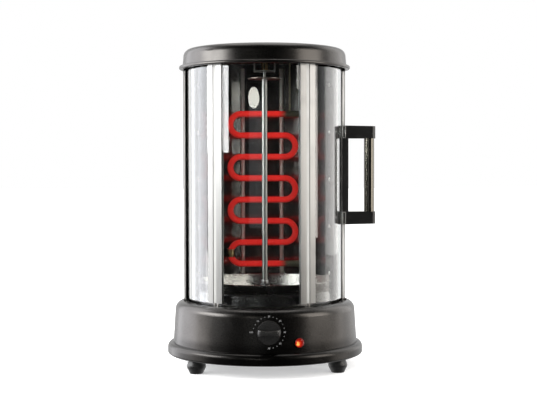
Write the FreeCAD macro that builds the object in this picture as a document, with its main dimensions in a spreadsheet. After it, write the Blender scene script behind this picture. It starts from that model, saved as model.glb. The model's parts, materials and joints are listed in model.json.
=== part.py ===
import FreeCAD, Part
import math
import os
import re
import Sketcher

# Vertical kebab grill: a round base with a timer, a glazed door that turns round the spit
# in two circular tracks, a heater in front of a folded reflector, and a lid over all.
# Heights are above the floor, lengths in millimetres. Angles in degrees are measured from
# the front, anticlockwise as seen from above, so that the handle side is plus ninety.

sizes = {
    # feet and base plate
    "foot_height": 20.0,
    "foot_radius": 14.0,
    "foot_tip_radius": 9.0,
    "foot_neck_radius": 10.5,
    "foot_belly": 10.0,
    "foot_spread_x": 99.5,
    "foot_spread_y": 75.0,
    "plate_sheet": 1.5,
    "plate_play": 0.3,
    "vent_inner": 42.0,
    "vent_outer": 72.0,
    "vent_width": 4.0,
    "vents": 16,
    # base housing
    "skirt_drop": 1.0,
    "skirt_step": 8.3,
    "skirt_height": 17.0,
    "skirt_lip_round": 3.0,
    "base_height": 95.5,
    "base_taper": 3.8,
    "base_margin": 11.4,
    "base_wall": 2.5,
    "base_shoulder": 12.5,
    "shaft_hole_radius": 14.0,
    "track_depth": 4.0,
    "pocket_depth": 2.0,
    "pocket_edge": 67.0,
    # chamber floor and drip tray
    "floor_margin": 11.5,
    "floor_rise": 16.0,
    "floor_sheet": 1.2,
    "floor_round": 4.0,
    "floor_hole_radius": 6.0,
    "tray_play": 0.3,
    "tray_slope": 9.5,
    "tray_lip": 4.0,
    "tray_height": 13.2,
    "tray_sheet": 0.8,
    "tray_hole_radius": 12.0,
    "tray_collar": 5.5,
    # door
    "door_radius": 110.0,
    "door_swing": 29.9,
    "pane_pitch": 70.4,
    "end_pane": 62.3,
    "chamber_height": 335.6,
    "glass_thickness": 4.0,
    "glass_gap": 4.0,
    "glass_headroom": 1.5,
    "glass_play": 0.15,
    "bar_back": 3.2,
    "bar_face": 3.4,
    "bar_width": 24.0,
    "bar_channel": 5.6,
    "bar_channel_depth": 2.6,
    "bar_web": 1.3,
    "stile_width": 12.0,
    "stile_core": 7.5,
    "pin_radius": 1.2,
    "pin_spacing": 5.7,
    "pin_play": 0.4,
    # handle
    "handle_low": 205.0,
    "handle_span": 145.0,
    "handle_back": 8.6,
    "handle_reach": 49.0,
    "handle_arm": 19.0,
    "handle_arm_taper": 1.0,
    "handle_width": 13.0,
    "handle_nose": 6.0,
    "grip_radius": 7.5,
    "grip_reach": 39.8,
    "handle_screw_radius": 2.0,
    "seat_play": 0.3,
    # rear housing and reflector
    "housing_gap": 9.0,
    "housing_sheet": 1.2,
    "housing_return": 2.0,
    "housing_edge": 94.0,
    "reflector_gap": 4.8,
    "reflector_sheet": 0.8,
    "reflector_fold_a": 17.0,
    "reflector_fold_b": 27.0,
    "reflector_fold_c": 46.0,
    "reflector_fold_d": 65.0,
    "reflector_fold_e": 83.0,
    "rivet_pitch": 70.0,
    "rivet_low": 36.0,
    "rivet_radius": 2.6,
    "rivet_height": 1.4,
    # lid and ceiling
    "lid_height": 28.9,
    "lid_taper": 2.2,
    "flange_margin": 5.4,
    "flange_step": 5.0,
    "flange_height": 4.8,
    "flange_round": 2.0,
    "lid_round": 10.5,
    "lid_sheet": 1.5,
    "ceiling_lift": 3.2,
    "ceiling_rise": 13.0,
    "ceiling_sheet": 1.2,
    "ceiling_play": 0.3,
    # heater
    "heater_gap": 35.2,
    "heater_margin": 24.03,
    "heater_end_margin": 16.53,
    "heater_low": 47.0,
    "heater_tube": 9.4,
    "heater_pitch": 32.5,
    "heater_runs": 8,
    "terminal_radius": 6.5,
    "terminal_length": 7.0,
    "terminal_neck_radius": 3.0,
    "sleeve_radius": 1.6,
    "sleeve_inset": 20.4,
    "clip_sheet": 1.2,
    "clip_width": 12.0,
    # spit and its drive
    "spit_radius": 4.0,
    "spit_foot": 18.0,
    "spit_gap": 10.7,
    "neck_radius": 2.0,
    "neck_length": 20.0,
    "disc_radius": 24.5,
    "disc_sheet": 1.5,
    "bearing_width": 31.0,
    "bearing_depth": 22.0,
    "bearing_drop": 19.1,
    "bearing_sheet": 1.5,
    "bush_radius": 5.0,
    "bush_flange": 2.0,
    "bush_play": 0.06,
    "socket_radius": 8.0,
    "socket_height": 7.0,
    "socket_play": 0.2,
    "clip_rise": 5.0,
    "clip_spread": 12.0,
    "clip_slot_depth": 2.0,
    "drive_radius": 4.0,
    "motor_radius": 25.0,
    "motor_height": 22.0,
    "motor_drop": 6.0,
    "bracket_sheet": 1.5,
    # timer, lamp and cable entry
    "knob_radius": 16.5,
    "knob_height": 64.5,
    "knob_depth": 13.0,
    "knob_skirt": 4.5,
    "knob_play": 0.5,
    "knob_draft": 0.5,
    "knob_round": 3.0,
    "knob_grip": 5.0,
    "hollow_radius": 52.0,
    "hollow_round": 1.5,
    "timer_neck_radius": 5.0,
    "timer_neck_play": 0.3,
    "timer_shaft_radius": 3.0,
    "timer_width": 44.0,
    "timer_tall": 36.0,
    "timer_depth": 28.0,
    "timer_gap": 6.0,
    "lamp_angle": 18.2,
    "lamp_height": 49.5,
    "lamp_radius": 6.4,
    "lamp_proud": 3.6,
    "lamp_rim": 1.3,
    "lamp_depth": 14.0,
    "gland_radius": 8.0,
    "gland_bore": 3.5,
    "gland_height": 56.0,
    "gland_length": 12.0,
    # small screws
    "screw_radius": 1.8,
    "screw_head_radius": 3.4,
    "screw_head": 2.2,
    "screw_play": 0.2,
}

# Sizes that follow from those above
derived = {
    "housing_radius": "door_radius + housing_gap",
    "reflector_radius": "door_radius - reflector_gap",
    "base_top_radius": "housing_radius + base_margin",
    "base_low_radius": "base_top_radius + base_taper",
    "skirt_radius": "base_low_radius + skirt_step",
    "skirt_round": "skirt_step * 0.9",
    "floor_radius": "door_radius - floor_margin",
    "tray_rim_radius": "floor_radius",
    "tray_wall_radius": "tray_rim_radius - tray_lip",
    "tray_floor_radius": "tray_wall_radius - tray_slope",
    "flange_radius": "housing_radius + flange_margin",
    "lid_low_radius": "flange_radius - flange_step",
    "lid_top_radius": "lid_low_radius - lid_taper",
    "heater_back": "reflector_radius - heater_gap",
    "heater_wall": "sqrt(reflector_radius ^ 2 - heater_back ^ 2)",
    "heater_width": "2 * (heater_wall - heater_margin)",
    "heater_end": "heater_wall - heater_end_margin",
    "sleeve_across": "heater_end - sleeve_inset",
    "skirt_foot": "foot_height - skirt_drop",
    "skirt_top": "skirt_foot + skirt_height",
    "under_top": "base_height - base_wall",
    "track_inner": "door_radius - pin_radius - pin_play",
    "track_outer": "door_radius + pin_radius + pin_play",
    "pocket_floor": "base_height - pocket_depth",
    "pocket_inner": "door_radius + bar_face + 1",
    "pocket_outer": "housing_radius + seat_play",
    "track_under": "base_height - track_depth - base_wall",
    "lid_rim": "base_height + chamber_height",
    "ceiling": "lid_rim + ceiling_lift",
    "ceiling_top": "ceiling + ceiling_rise",
    "lid_top": "lid_rim + lid_height",
    "flange_top": "lid_rim + flange_height",
    "floor_top": "base_height + floor_rise",
    "tray_under": "floor_top + tray_play",
    "tray_top": "tray_under + tray_height",
    "door_back": "door_radius - bar_back",
    "door_face": "door_radius + bar_face",
    "glass_inner": "door_radius - glass_thickness / 2",
    "glass_outer": "door_radius + glass_thickness / 2",
    "glass_low": "base_height + glass_gap",
    "glass_high": "lid_rim - glass_headroom",
    "bar_high": "ceiling - seat_play",
    "bar_angle": "bar_width / door_radius * 180 / pi",
    "channel_angle": "bar_channel / door_radius * 180 / pi",
    "core_angle": "(bar_channel + 2 * bar_web) / door_radius * 180 / pi",
    "stile_angle": "stile_width / door_radius * 180 / pi",
    "stile_core_angle": "stile_core / door_radius * 180 / pi",
    "glass_play_angle": "glass_play / door_radius * 180 / pi",
    "right_bar": "door_swing",
    "left_bar": "door_swing - pane_pitch",
    "closing_edge": "right_bar + end_pane",
    "trailing_edge": "left_bar - end_pane",
    "handle_angle": "closing_edge - stile_core_angle / 2",
    "handle_foot": "door_face + seat_play",
    "handle_high": "handle_low + handle_span",
    "grip_low": "handle_low + handle_arm",
    "grip_high": "handle_high - handle_arm",
    "housing_inner": "housing_radius - housing_sheet",
    "reflector_inner": "reflector_radius - reflector_sheet",
    "bend_radius": "heater_pitch / 2",
    "heater_half": "heater_width / 2 - heater_tube / 2 - bend_radius",
    "heater_first": "base_height + heater_low",
    "heater_last": "heater_first + (heater_runs - 1) * heater_pitch",
    "spit_low": "base_height + spit_foot",
    "spit_high": "bearing_low - spit_gap",
    "spit_length": "spit_high - spit_low",
    "socket_low": "floor_top + 0.5",
    "socket_high": "socket_low + socket_height",
    "bearing_low": "ceiling_top - bearing_drop",
    "motor_top": "under_top - motor_drop",
    "wall_slope": "(base_low_radius - base_top_radius) / (base_height - skirt_top)",
    "knob_wall": "base_low_radius - (knob_height - skirt_top) * wall_slope",
    "knob_seat": "knob_wall + knob_radius * wall_slope + knob_play",
    "lamp_seat": "base_low_radius - (lamp_height - lamp_radius - lamp_rim - skirt_top) * wall_slope",
    "axis_across": "(skirt_radius - handle_foot - handle_reach) / 2",
    "gland_seat": "base_low_radius - (gland_height - gland_radius - skirt_top) * wall_slope",
}

doc = FreeCAD.newDocument("VerticalKebabGrill")
sheet = doc.addObject("Spreadsheet::Sheet", "Sizes")
for row, (alias, amount) in enumerate(sizes.items(), start=1):
    sheet.set(f"A{row}", alias)
    sheet.set(f"B{row}", str(amount))
    sheet.setAlias(f"B{row}", alias)
doc.recompute()

nodes = []


def formula(text):
    """The text with each size turned into its cell, and each derived size written out."""
    def cell(word):
        name = word.group(0)
        if name in derived:
            return "(" + formula(derived[name]) + ")"
        if name in sizes:
            return "Sizes." + name
        return name
    return re.sub(r"[a-z][a-z_]*", cell, str(text))


def size(text):
    """What a formula comes to now."""
    return float(sheet.evalExpression(formula(text)))


def node(item, label):
    """Name a finished piece and put it on the list of pieces to write."""
    item.Label = label
    nodes.append(item)
    return item


def new_body(label, kept=True):
    body = doc.addObject("PartDesign::Body", label)
    if kept:
        node(body, label)
    return body


def new_sketch(body, name, plane, start="0", lift="0"):
    """A sketch on one of the body's planes, turned about the upright axis by start, or lifted."""
    sketch = body.newObject("Sketcher::SketchObject", f"{body.Name}_{name}_sketch")
    support = [item for item in body.Origin.OriginFeatures if item.Role == plane][0]
    sketch.AttachmentSupport = [(support, "")]
    sketch.MapMode = "FlatFace"
    if start != "0":
        sketch.AttachmentOffset = FreeCAD.Placement(FreeCAD.Vector(), FreeCAD.Rotation(FreeCAD.Vector(0, 1, 0), 90))
        sketch.setExpression("AttachmentOffset.Rotation.Angle", formula(start))
    if lift != "0":
        sketch.setExpression("AttachmentOffset.Base.z", formula(lift))
    return sketch


def fix_point(sketch, line, end, across, along):
    """Hold one end of a line, or a centre, at its two coordinates."""
    for kind, text, axis in (("DistanceX", across, -2), ("DistanceY", along, -1)):
        if text == "0":
            sketch.addConstraint(Sketcher.Constraint("PointOnObject", line, end, axis))
        else:
            index = sketch.addConstraint(Sketcher.Constraint(kind, -1, 1, line, end, size(text)))
            sketch.setExpression(f"Constraints[{index}]", formula(text))


def draw_outline(sketch, points):
    """A closed outline of straight lines through points given as pairs of formulas."""
    corners = [FreeCAD.Vector(size(across), size(along), 0) for across, along in points]
    count = len(corners)
    for index in range(count):
        sketch.addGeometry(Part.LineSegment(corners[index], corners[(index + 1) % count]))
    for index in range(count):
        sketch.addConstraint(Sketcher.Constraint("Coincident", index, 2, (index + 1) % count, 1))
    for index, (across, along) in enumerate(points):
        fix_point(sketch, index, 1, across, along)


def draw_circle(sketch, across, along, radius):
    centre = FreeCAD.Vector(size(across), size(along), 0)
    line = sketch.addGeometry(Part.Circle(centre, FreeCAD.Vector(0, 0, 1), size(radius)))
    fix_point(sketch, line, 3, across, along)
    index = sketch.addConstraint(Sketcher.Constraint("Radius", line, size(radius)))
    sketch.setExpression(f"Constraints[{index}]", formula(radius))


def turn(body, name, points, start="0", span="360", cut=False):
    """Turn an outline of (radius, height) points about the upright axis."""
    origin = "0" if start == "0" and span == "360" else f"{start} - 90"
    sketch = new_sketch(body, name, "XZ_Plane", start=origin)
    draw_outline(sketch, points)
    kind = "PartDesign::Groove" if cut else "PartDesign::Revolution"
    feature = body.newObject(kind, f"{body.Name}_{name}")
    feature.Profile = sketch
    feature.ReferenceAxis = (sketch, ["V_Axis"])
    feature.setExpression("Angle", formula(span))
    sketch.Visibility = False
    doc.recompute()
    return feature


def sector(body, name, inner, outer, low, high, start="0", span="360", cut=False):
    """A curved block between two radii and two heights."""
    points = [(inner, low), (outer, low), (outer, high), (inner, high)]
    return turn(body, name, points, start, span, cut)


def extrude(body, name, plane, draw, length, start="0", lift="0", cut=False, both=False, back=False):
    """Pad or pocket what draw puts in a sketch."""
    sketch = new_sketch(body, name, plane, start=start, lift=lift)
    draw(sketch)
    kind = "PartDesign::Pocket" if cut else "PartDesign::Pad"
    before = body.Shape.Volume if cut else 0
    feature = body.newObject(kind, f"{body.Name}_{name}")
    feature.Profile = sketch
    feature.setExpression("Length", formula(length))
    feature.Midplane = both
    feature.Reversed = back
    sketch.Visibility = False
    doc.recompute()
    if cut and feature.Shape.Volume > before - 1e-6:
        raise RuntimeError(f"{feature.Name} cuts nothing")
    return feature


def repeat(body, name, feature, count):
    """Repeat a body's last feature all round the upright axis."""
    before = body.Shape.Volume
    pattern = body.newObject("PartDesign::PolarPattern", f"{body.Name}_{name}")
    pattern.Originals = [feature]
    pattern.Axis = ([item for item in body.Origin.OriginFeatures if item.Role == "Z_Axis"][0], [""])
    pattern.Angle = 360
    pattern.setExpression("Occurrences", formula(count))
    body.Tip = pattern
    doc.recompute()
    if abs(body.Shape.Volume - before) < 1e-6:
        raise RuntimeError(f"{pattern.Name} repeats nothing")


def circle(across, along, radius):
    return lambda sketch: draw_circle(sketch, across, along, radius)


def outline(points):
    return lambda sketch: draw_outline(sketch, points)


def rounded(body, name, radius, edges):
    """A fillet on edges of the body's last feature."""
    base = body.Tip
    if not edges:
        raise RuntimeError(f"{body.Name} {name} has no edge to round")
    feature = body.newObject("PartDesign::Fillet", f"{body.Name}_{name}")
    feature.Base = (base, edges)
    feature.setExpression("Radius", formula(radius))
    doc.recompute()
    return feature


def rims(body, radius, height, reach="0"):
    """The circular edges of one radius and height whose centres are at one reach from the upright axis."""
    found = []
    for index, edge in enumerate(body.Tip.Shape.Edges, start=1):
        if not isinstance(edge.Curve, Part.Circle):
            continue
        centre = edge.Curve.Center
        level = abs(centre.z - size(height)) < 0.01
        placed = abs(math.hypot(centre.x, centre.y) - size(reach)) < 0.01
        if level and placed and abs(edge.Curve.Radius - size(radius)) < 0.01:
            found.append(f"Edge{index}")
    return found


def upright_edges(body, far):
    """The straight upright edges whose distance out along X is far."""
    found = []
    for index, edge in enumerate(body.Tip.Shape.Edges, start=1):
        ends = [vertex.Point for vertex in edge.Vertexes]
        if len(ends) == 2 and (ends[0] - ends[1]).cross(FreeCAD.Vector(0, 0, 1)).Length < 1e-6:
            if abs(ends[0].x - size(far)) < 0.01:
                found.append(f"Edge{index}")
    return found


def spin(angle, reach=0.0, height=0.0):
    """Placement that turns a piece modelled along +X to an angle from the front."""
    rotation = FreeCAD.Rotation(FreeCAD.Vector(0, 0, 1), size(angle) - 90)
    return FreeCAD.Placement(rotation.multVec(FreeCAD.Vector(reach, 0, height)), rotation)


def group(label, master, placements):
    """Equal small pieces that share one node, copied from one master body."""
    doc.recompute()
    item = doc.addObject("Part::Feature", label)
    copies = []
    for placement in placements:
        copy = master.Shape.copy()
        copy.Placement = placement.multiply(copy.Placement)
        copies.append(copy)
    item.Shape = Part.makeCompound(copies)
    return node(item, label)


def screw(name, length):
    """Pan head screw, head up at the origin and shank down."""
    body = new_body(name, kept=False)
    turn(body, "form", [
        ("0", f"0 - ({length})"),
        ("screw_radius", f"0 - ({length})"),
        ("screw_radius", "0"),
        ("screw_head_radius", "0"),
        ("screw_head_radius * 0.8", "screw_head"),
        ("0", "screw_head"),
    ])
    return body


def upright(x, y, z, flip=False):
    """Placement of a piece that stands upright, or upside down."""
    rotation = FreeCAD.Rotation(FreeCAD.Vector(1, 0, 0), 180 if flip else 0)
    return FreeCAD.Placement(FreeCAD.Vector(x, y, z), rotation)


def foot_places():
    """The four feet, as (x, y) pairs of formulas."""
    return [(f"{a} * foot_spread_x", f"{b} * foot_spread_y") for a in (-1, 1) for b in (-1, 1)]


def make_base_housing():
    body = new_body("base_housing")
    turn(body, "wall", [
        ("shaft_hole_radius", "skirt_foot"),
        ("skirt_radius", "skirt_foot"),
        ("skirt_radius", "skirt_top"),
        ("base_low_radius", "skirt_top"),
        ("base_top_radius", "base_height"),
        ("shaft_hole_radius", "base_height"),
    ])
    rounded(body, "shoulder", "base_shoulder", rims(body, "base_top_radius", "base_height"))
    rounded(body, "skirt_bead", "skirt_round", rims(body, "skirt_radius", "skirt_top"))
    rounded(body, "skirt_lip", "skirt_lip_round", rims(body, "skirt_radius", "skirt_foot"))
    turn(body, "hollow", [
        ("0", "skirt_foot"),
        ("skirt_radius - base_wall", "skirt_foot"),
        ("skirt_radius - base_wall", "skirt_top - base_wall"),
        ("base_low_radius - base_wall", "skirt_top - base_wall"),
        ("base_top_radius - base_wall", "base_height - base_shoulder"),
        ("pocket_outer + base_wall", "track_under"),
        ("track_inner - base_wall", "track_under"),
        ("track_inner - base_wall", "under_top"),
        ("0", "under_top"),
    ], cut=True)
    corner = rims(body, "skirt_radius - base_wall", "skirt_top - base_wall")
    rounded(body, "bead_inside", "skirt_round - base_wall", corner)
    sector(body, "track", "track_inner", "track_outer", "base_height - track_depth", "base_height", cut=True)
    sector(body, "pocket", "pocket_inner", "pocket_outer", "pocket_floor", "base_height",
           "pocket_edge", "360 - 2 * pocket_edge", cut=True)
    extrude(body, "timer_hole", "XZ_Plane", circle("0", "knob_height", "timer_neck_radius + timer_neck_play"),
            "skirt_radius", cut=True, back=True)
    extrude(body, "lamp_hole", "XZ_Plane", circle("0", "lamp_height", "lamp_radius - lamp_rim + timer_neck_play"),
            "skirt_radius", start="lamp_angle", cut=True, back=True)
    extrude(body, "cable_hole", "XZ_Plane", circle("0", "gland_height", "gland_radius - 2 + timer_neck_play"),
            "skirt_radius", cut=True)


def make_base_plate():
    body = new_body("base_plate")
    sector(body, "disc", "0", "skirt_radius - base_wall - plate_play", "foot_height", "foot_height + plate_sheet")
    for index, (x, y) in enumerate(foot_places()):
        extrude(body, f"hole_{index}", "XY_Plane", circle(x, y, "screw_radius + screw_play"),
                "foot_height + 2 * plate_sheet", cut=True, back=True)
    vent = extrude(body, "vent", "XY_Plane", outline([
        ("vent_inner", "0 - vent_width / 2"),
        ("vent_outer", "0 - vent_width / 2"),
        ("vent_outer", "vent_width / 2"),
        ("vent_inner", "vent_width / 2"),
    ]), "foot_height + 2 * plate_sheet", cut=True, back=True)
    repeat(body, "vents", vent, "vents")


def make_feet():
    body = new_body("foot", kept=False)
    turn(body, "form", [
        ("screw_radius + screw_play", "0"),
        ("foot_tip_radius", "0"),
        ("foot_radius", "foot_belly"),
        ("foot_neck_radius", "foot_height"),
        ("screw_radius + screw_play", "foot_height"),
    ])
    rounded(body, "belly", "foot_belly * 0.6", rims(body, "foot_radius", "foot_belly"))
    sector(body, "recess", "0", "screw_head_radius + screw_play", "0", "foot_belly", cut=True)
    group("feet", body, [upright(size(x), size(y), 0) for x, y in foot_places()])
    bolt = screw("foot_screw", "foot_height - foot_belly + plate_sheet + 3")
    level = size("foot_belly")
    group("foot_screws", bolt, [upright(size(x), size(y), level, flip=True) for x, y in foot_places()])


def make_chamber_floor():
    body = new_body("chamber_floor")
    turn(body, "pan", [
        ("floor_hole_radius", "base_height"),
        ("floor_radius", "base_height"),
        ("floor_radius - 2", "floor_top"),
        ("floor_hole_radius", "floor_top"),
    ])
    rounded(body, "edge", "floor_round", rims(body, "floor_radius - 2", "floor_top"))
    turn(body, "hollow", [
        ("0", "base_height"),
        ("floor_radius - floor_sheet", "base_height"),
        ("floor_radius - 2 - floor_sheet", "floor_top - floor_sheet"),
        ("0", "floor_top - floor_sheet"),
    ], cut=True)
    rounded(body, "edge_inside", "floor_round - floor_sheet",
            rims(body, "floor_radius - 2 - floor_sheet", "floor_top - floor_sheet"))


def make_drip_tray():
    body = new_body("drip_tray")
    turn(body, "dish", [
        ("tray_hole_radius", "tray_under"),
        ("tray_floor_radius", "tray_under"),
        ("tray_wall_radius", "tray_top - tray_sheet"),
        ("tray_rim_radius", "tray_top - tray_sheet"),
        ("tray_rim_radius", "tray_top"),
        ("tray_wall_radius - tray_sheet", "tray_top"),
        ("tray_floor_radius - tray_sheet", "tray_under + tray_sheet"),
        ("tray_hole_radius + tray_sheet", "tray_under + tray_sheet"),
        ("tray_hole_radius + tray_sheet", "tray_under + tray_collar"),
        ("tray_hole_radius", "tray_under + tray_collar"),
    ])


def make_rear_housing():
    body = new_body("rear_housing")
    span = "360 - 2 * housing_edge"
    sector(body, "sheet", "housing_inner - housing_return", "housing_radius", "pocket_floor", "lid_rim",
           "housing_edge", span)
    edge = "housing_sheet / housing_radius * 180 / pi"
    sector(body, "hollow", "housing_inner - housing_return", "housing_inner", "pocket_floor", "lid_rim",
           f"housing_edge + {edge}", f"{span} - 2 * {edge}", cut=True)


def make_reflector():
    folds = ["reflector_fold_" + letter for letter in "abcde"]
    angles = [f"90 - {fold}" for fold in folds] + [f"90 + {fold}" for fold in reversed(folds)]
    outer = [(f"reflector_radius * cos({angle})", f"reflector_radius * sin({angle})") for angle in angles]
    inner = [(f"reflector_inner * cos({angle})", f"reflector_inner * sin({angle})") for angle in angles]
    order = folds_in_order(outer) + list(reversed(folds_in_order(inner)))
    body = new_body("reflector")
    extrude(body, "folds", "XY_Plane", outline(order), "ceiling_top - base_height", lift="base_height")


def folds_in_order(points):
    """The fold points from the right front edge round the back to the left front edge."""
    half = len(points) // 2
    return list(reversed(points[:half])) + list(reversed(points[half:]))


def make_rivets():
    """Two upright rows of dome rivets on the reflector's side walls."""
    body = new_body("rivet", kept=False)
    turn(body, "form", [
        ("0", "0"),
        ("rivet_radius", "0"),
        ("rivet_radius * 0.8", "rivet_height * 0.7"),
        ("rivet_radius * 0.4", "rivet_height"),
        ("0", "rivet_height"),
    ])
    half = math.radians(size("reflector_fold_e - reflector_fold_d") / 2)
    middle = size("180 - (reflector_fold_d + reflector_fold_e) / 2")
    reach = size("reflector_inner") * math.cos(half)
    count = int((size("chamber_height") - size("rivet_low")) // size("rivet_pitch")) + 1
    lay = FreeCAD.Placement(FreeCAD.Vector(), FreeCAD.Rotation(FreeCAD.Vector(0, 1, 0), -90))
    places = []
    for side in (-1, 1):
        for index in range(count):
            level = size("base_height + rivet_low") + index * size("rivet_pitch")
            places.append(spin(side * middle, reach, level).multiply(lay))
    group("rivets", body, places)


def make_lid():
    body = new_body("lid")
    turn(body, "cap", [
        ("0", "lid_rim"),
        ("flange_radius", "lid_rim"),
        ("flange_radius", "flange_top"),
        ("lid_low_radius", "flange_top"),
        ("lid_top_radius", "lid_top"),
        ("0", "lid_top"),
    ])
    turn(body, "hollow", [
        ("0", "lid_rim"),
        ("lid_low_radius - lid_sheet", "lid_rim"),
        ("lid_low_radius - lid_sheet", "flange_top"),
        ("lid_top_radius - lid_sheet", "lid_top - lid_sheet"),
        ("0", "lid_top - lid_sheet"),
    ], cut=True)
    rounded(body, "shoulder_inside", "lid_round - lid_sheet",
            rims(body, "lid_top_radius - lid_sheet", "lid_top - lid_sheet"))
    rounded(body, "shoulder", "lid_round", rims(body, "lid_top_radius", "lid_top"))
    flange = rims(body, "flange_radius", "lid_rim") + rims(body, "flange_radius", "flange_top")
    rounded(body, "flange_bead", "flange_round", flange)


def make_ceiling():
    """Sheet under the lid: an outer ring with the upper door track, and a raised middle."""
    body = new_body("ceiling_plate")
    turn(body, "sheet", [
        ("0", "ceiling_top"),
        ("reflector_radius + ceiling_play", "ceiling_top"),
        ("reflector_radius + ceiling_play", "ceiling"),
        ("lid_low_radius - lid_sheet - ceiling_play", "ceiling"),
        ("lid_low_radius - lid_sheet - ceiling_play", "ceiling + ceiling_sheet"),
        ("track_outer + ceiling_sheet", "ceiling + ceiling_sheet"),
        ("track_outer + ceiling_sheet", "ceiling + track_depth + ceiling_sheet"),
        ("reflector_radius + ceiling_play + ceiling_sheet", "ceiling + track_depth + ceiling_sheet"),
        ("reflector_radius + ceiling_play + ceiling_sheet", "ceiling_top + ceiling_sheet"),
        ("0", "ceiling_top + ceiling_sheet"),
    ])
    sector(body, "track", "track_inner", "track_outer", "ceiling", "ceiling + track_depth", cut=True)
    sector(body, "bush_hole", "0", "bush_radius", "ceiling_top", "ceiling_top + ceiling_sheet", cut=True)


def make_door():
    panes = {
        "left_glass": ("trailing_edge + stile_core_angle", "left_bar - core_angle / 2"),
        "front_glass": ("left_bar + core_angle / 2", "right_bar - core_angle / 2"),
        "right_glass": ("right_bar + core_angle / 2", "closing_edge - stile_core_angle"),
    }
    for name, (first, last) in panes.items():
        body = new_body(name)
        sector(body, "pane", "glass_inner", "glass_outer", "glass_low", "glass_high",
               f"{first} + glass_play_angle", f"{last} - ({first}) - 2 * glass_play_angle")
    make_mullion("left_mullion", "left_bar")
    make_mullion("right_mullion", "right_bar")
    make_stile("trailing_stile", "trailing_edge", "trailing_edge")
    closing = make_stile("closing_stile", "closing_edge - stile_core_angle", "closing_edge - stile_angle")
    for index, level in enumerate(("handle_low + handle_arm / 2", "handle_high - handle_arm / 2")):
        extrude(closing, f"screw_hole_{index}", "XZ_Plane",
                circle("0", level, "handle_screw_radius + screw_play"), "door_face + 5",
                start="handle_angle", cut=True, back=True)
    make_guide_pins()


def bar_skins(body, start, span):
    """Inner and outer skins of a door bar, with the glass between them."""
    low, high = "glass_low", "bar_high"
    sector(body, "back", "door_back", "glass_inner - glass_play", low, high, start, span)
    sector(body, "face", "glass_outer + glass_play", "door_face", low, high, start, span)


def make_mullion(label, angle):
    body = new_body(label)
    sector(body, "core", "door_back", "door_face", "glass_low", "bar_high",
           f"{angle} - core_angle / 2", "core_angle")
    bar_skins(body, f"{angle} - bar_angle / 2", "bar_angle")
    sector(body, "channel", "door_face - bar_channel_depth", "door_face", "glass_low", "bar_high",
           f"{angle} - channel_angle / 2", "channel_angle", cut=True)


def make_stile(label, core_start, skin_start):
    """Upright at one end of the door, open on the side where the glass goes in."""
    body = new_body(label)
    sector(body, "core", "door_back", "door_face", "glass_low", "bar_high", core_start, "stile_core_angle")
    bar_skins(body, skin_start, "stile_angle")
    return body


def make_guide_pins():
    """Pins under and over each door bar, which run in the two tracks."""
    body = new_body("guide_pin", kept=False)
    sector(body, "form", "0", "pin_radius", "0", "track_depth + glass_gap - pin_play")
    top = new_body("top_pin", kept=False)
    sector(top, "form", "0", "pin_radius", "0", "track_depth - pin_play")
    reach = size("door_radius")
    step = size("pin_spacing / 2 / door_radius * 180 / pi")
    middle = size("stile_core_angle / 2")
    angles = [size("left_bar") - step, size("left_bar") + step, size("right_bar") - step,
              size("right_bar") + step, size("closing_edge") - middle, size("trailing_edge") + middle]
    low = size("base_height - track_depth + pin_play")
    group("lower_guide_pins", body, [spin(angle, reach, low) for angle in angles])
    group("upper_guide_pins", top, [spin(angle, reach, size("bar_high")) for angle in angles])


def make_handle():
    bracket = new_body("handle_bracket")
    back = "handle_foot + handle_back"
    tip = "handle_foot + handle_reach"
    extrude(bracket, "form", "XZ_Plane", outline([
        ("handle_foot", "handle_low"),
        (tip, "handle_low + handle_arm_taper"),
        (tip, "grip_low"),
        (back, "grip_low"),
        (back, "grip_high"),
        (tip, "grip_high"),
        (tip, "handle_high - handle_arm_taper"),
        ("handle_foot", "handle_high"),
    ]), "handle_width", both=True)
    rounded(bracket, "nose", "handle_nose", upright_edges(bracket, tip))
    for index, level in enumerate(("handle_low + handle_arm / 2", "handle_high - handle_arm / 2")):
        extrude(bracket, f"screw_hole_{index}", "YZ_Plane", circle("0", level, "handle_screw_radius + screw_play"),
                "handle_foot + handle_back", cut=True, back=True)
    bracket.Placement = spin("handle_angle")
    grip = new_body("handle_grip")
    sector(grip, "rod", "0", "grip_radius", "grip_low", "grip_high")
    grip.Placement = spin("handle_angle", size("handle_foot + grip_reach"))
    bolt = screw("handle_screw", "bar_back + bar_face + handle_back")
    lay = FreeCAD.Placement(FreeCAD.Vector(), FreeCAD.Rotation(FreeCAD.Vector(0, 1, 0), -90))
    levels = [size("handle_low + handle_arm / 2"), size("handle_high - handle_arm / 2")]
    seat = size("door_back - screw_play / 2")
    group("handle_screws", bolt, [spin("handle_angle", seat, level).multiply(lay) for level in levels])


def heater_path():
    """Centre line of the heater: level runs joined by half circle bends, both ends on the right."""
    half, bend = size("heater_half"), size("bend_radius")
    back, low, pitch = size("heater_back"), size("heater_first"), size("heater_pitch")
    runs = int(size("heater_runs"))
    edges = []
    for index in range(runs):
        level = low + index * pitch
        side = -1 if index % 2 == 0 else 1
        right = size("heater_end") if index in (0, runs - 1) else half
        edges.append(Part.LineSegment(FreeCAD.Vector(-half, back, level), FreeCAD.Vector(right, back, level)).toShape())
        if index < runs - 1:
            ends = [FreeCAD.Vector(side * half, back, level + step * bend) for step in (0, 2)]
            crown = FreeCAD.Vector(side * (half + bend), back, level + bend)
            edges.append(Part.Arc(ends[0], crown, ends[1]).toShape())
    return Part.Wire(Part.__sortEdges__(edges))


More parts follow.
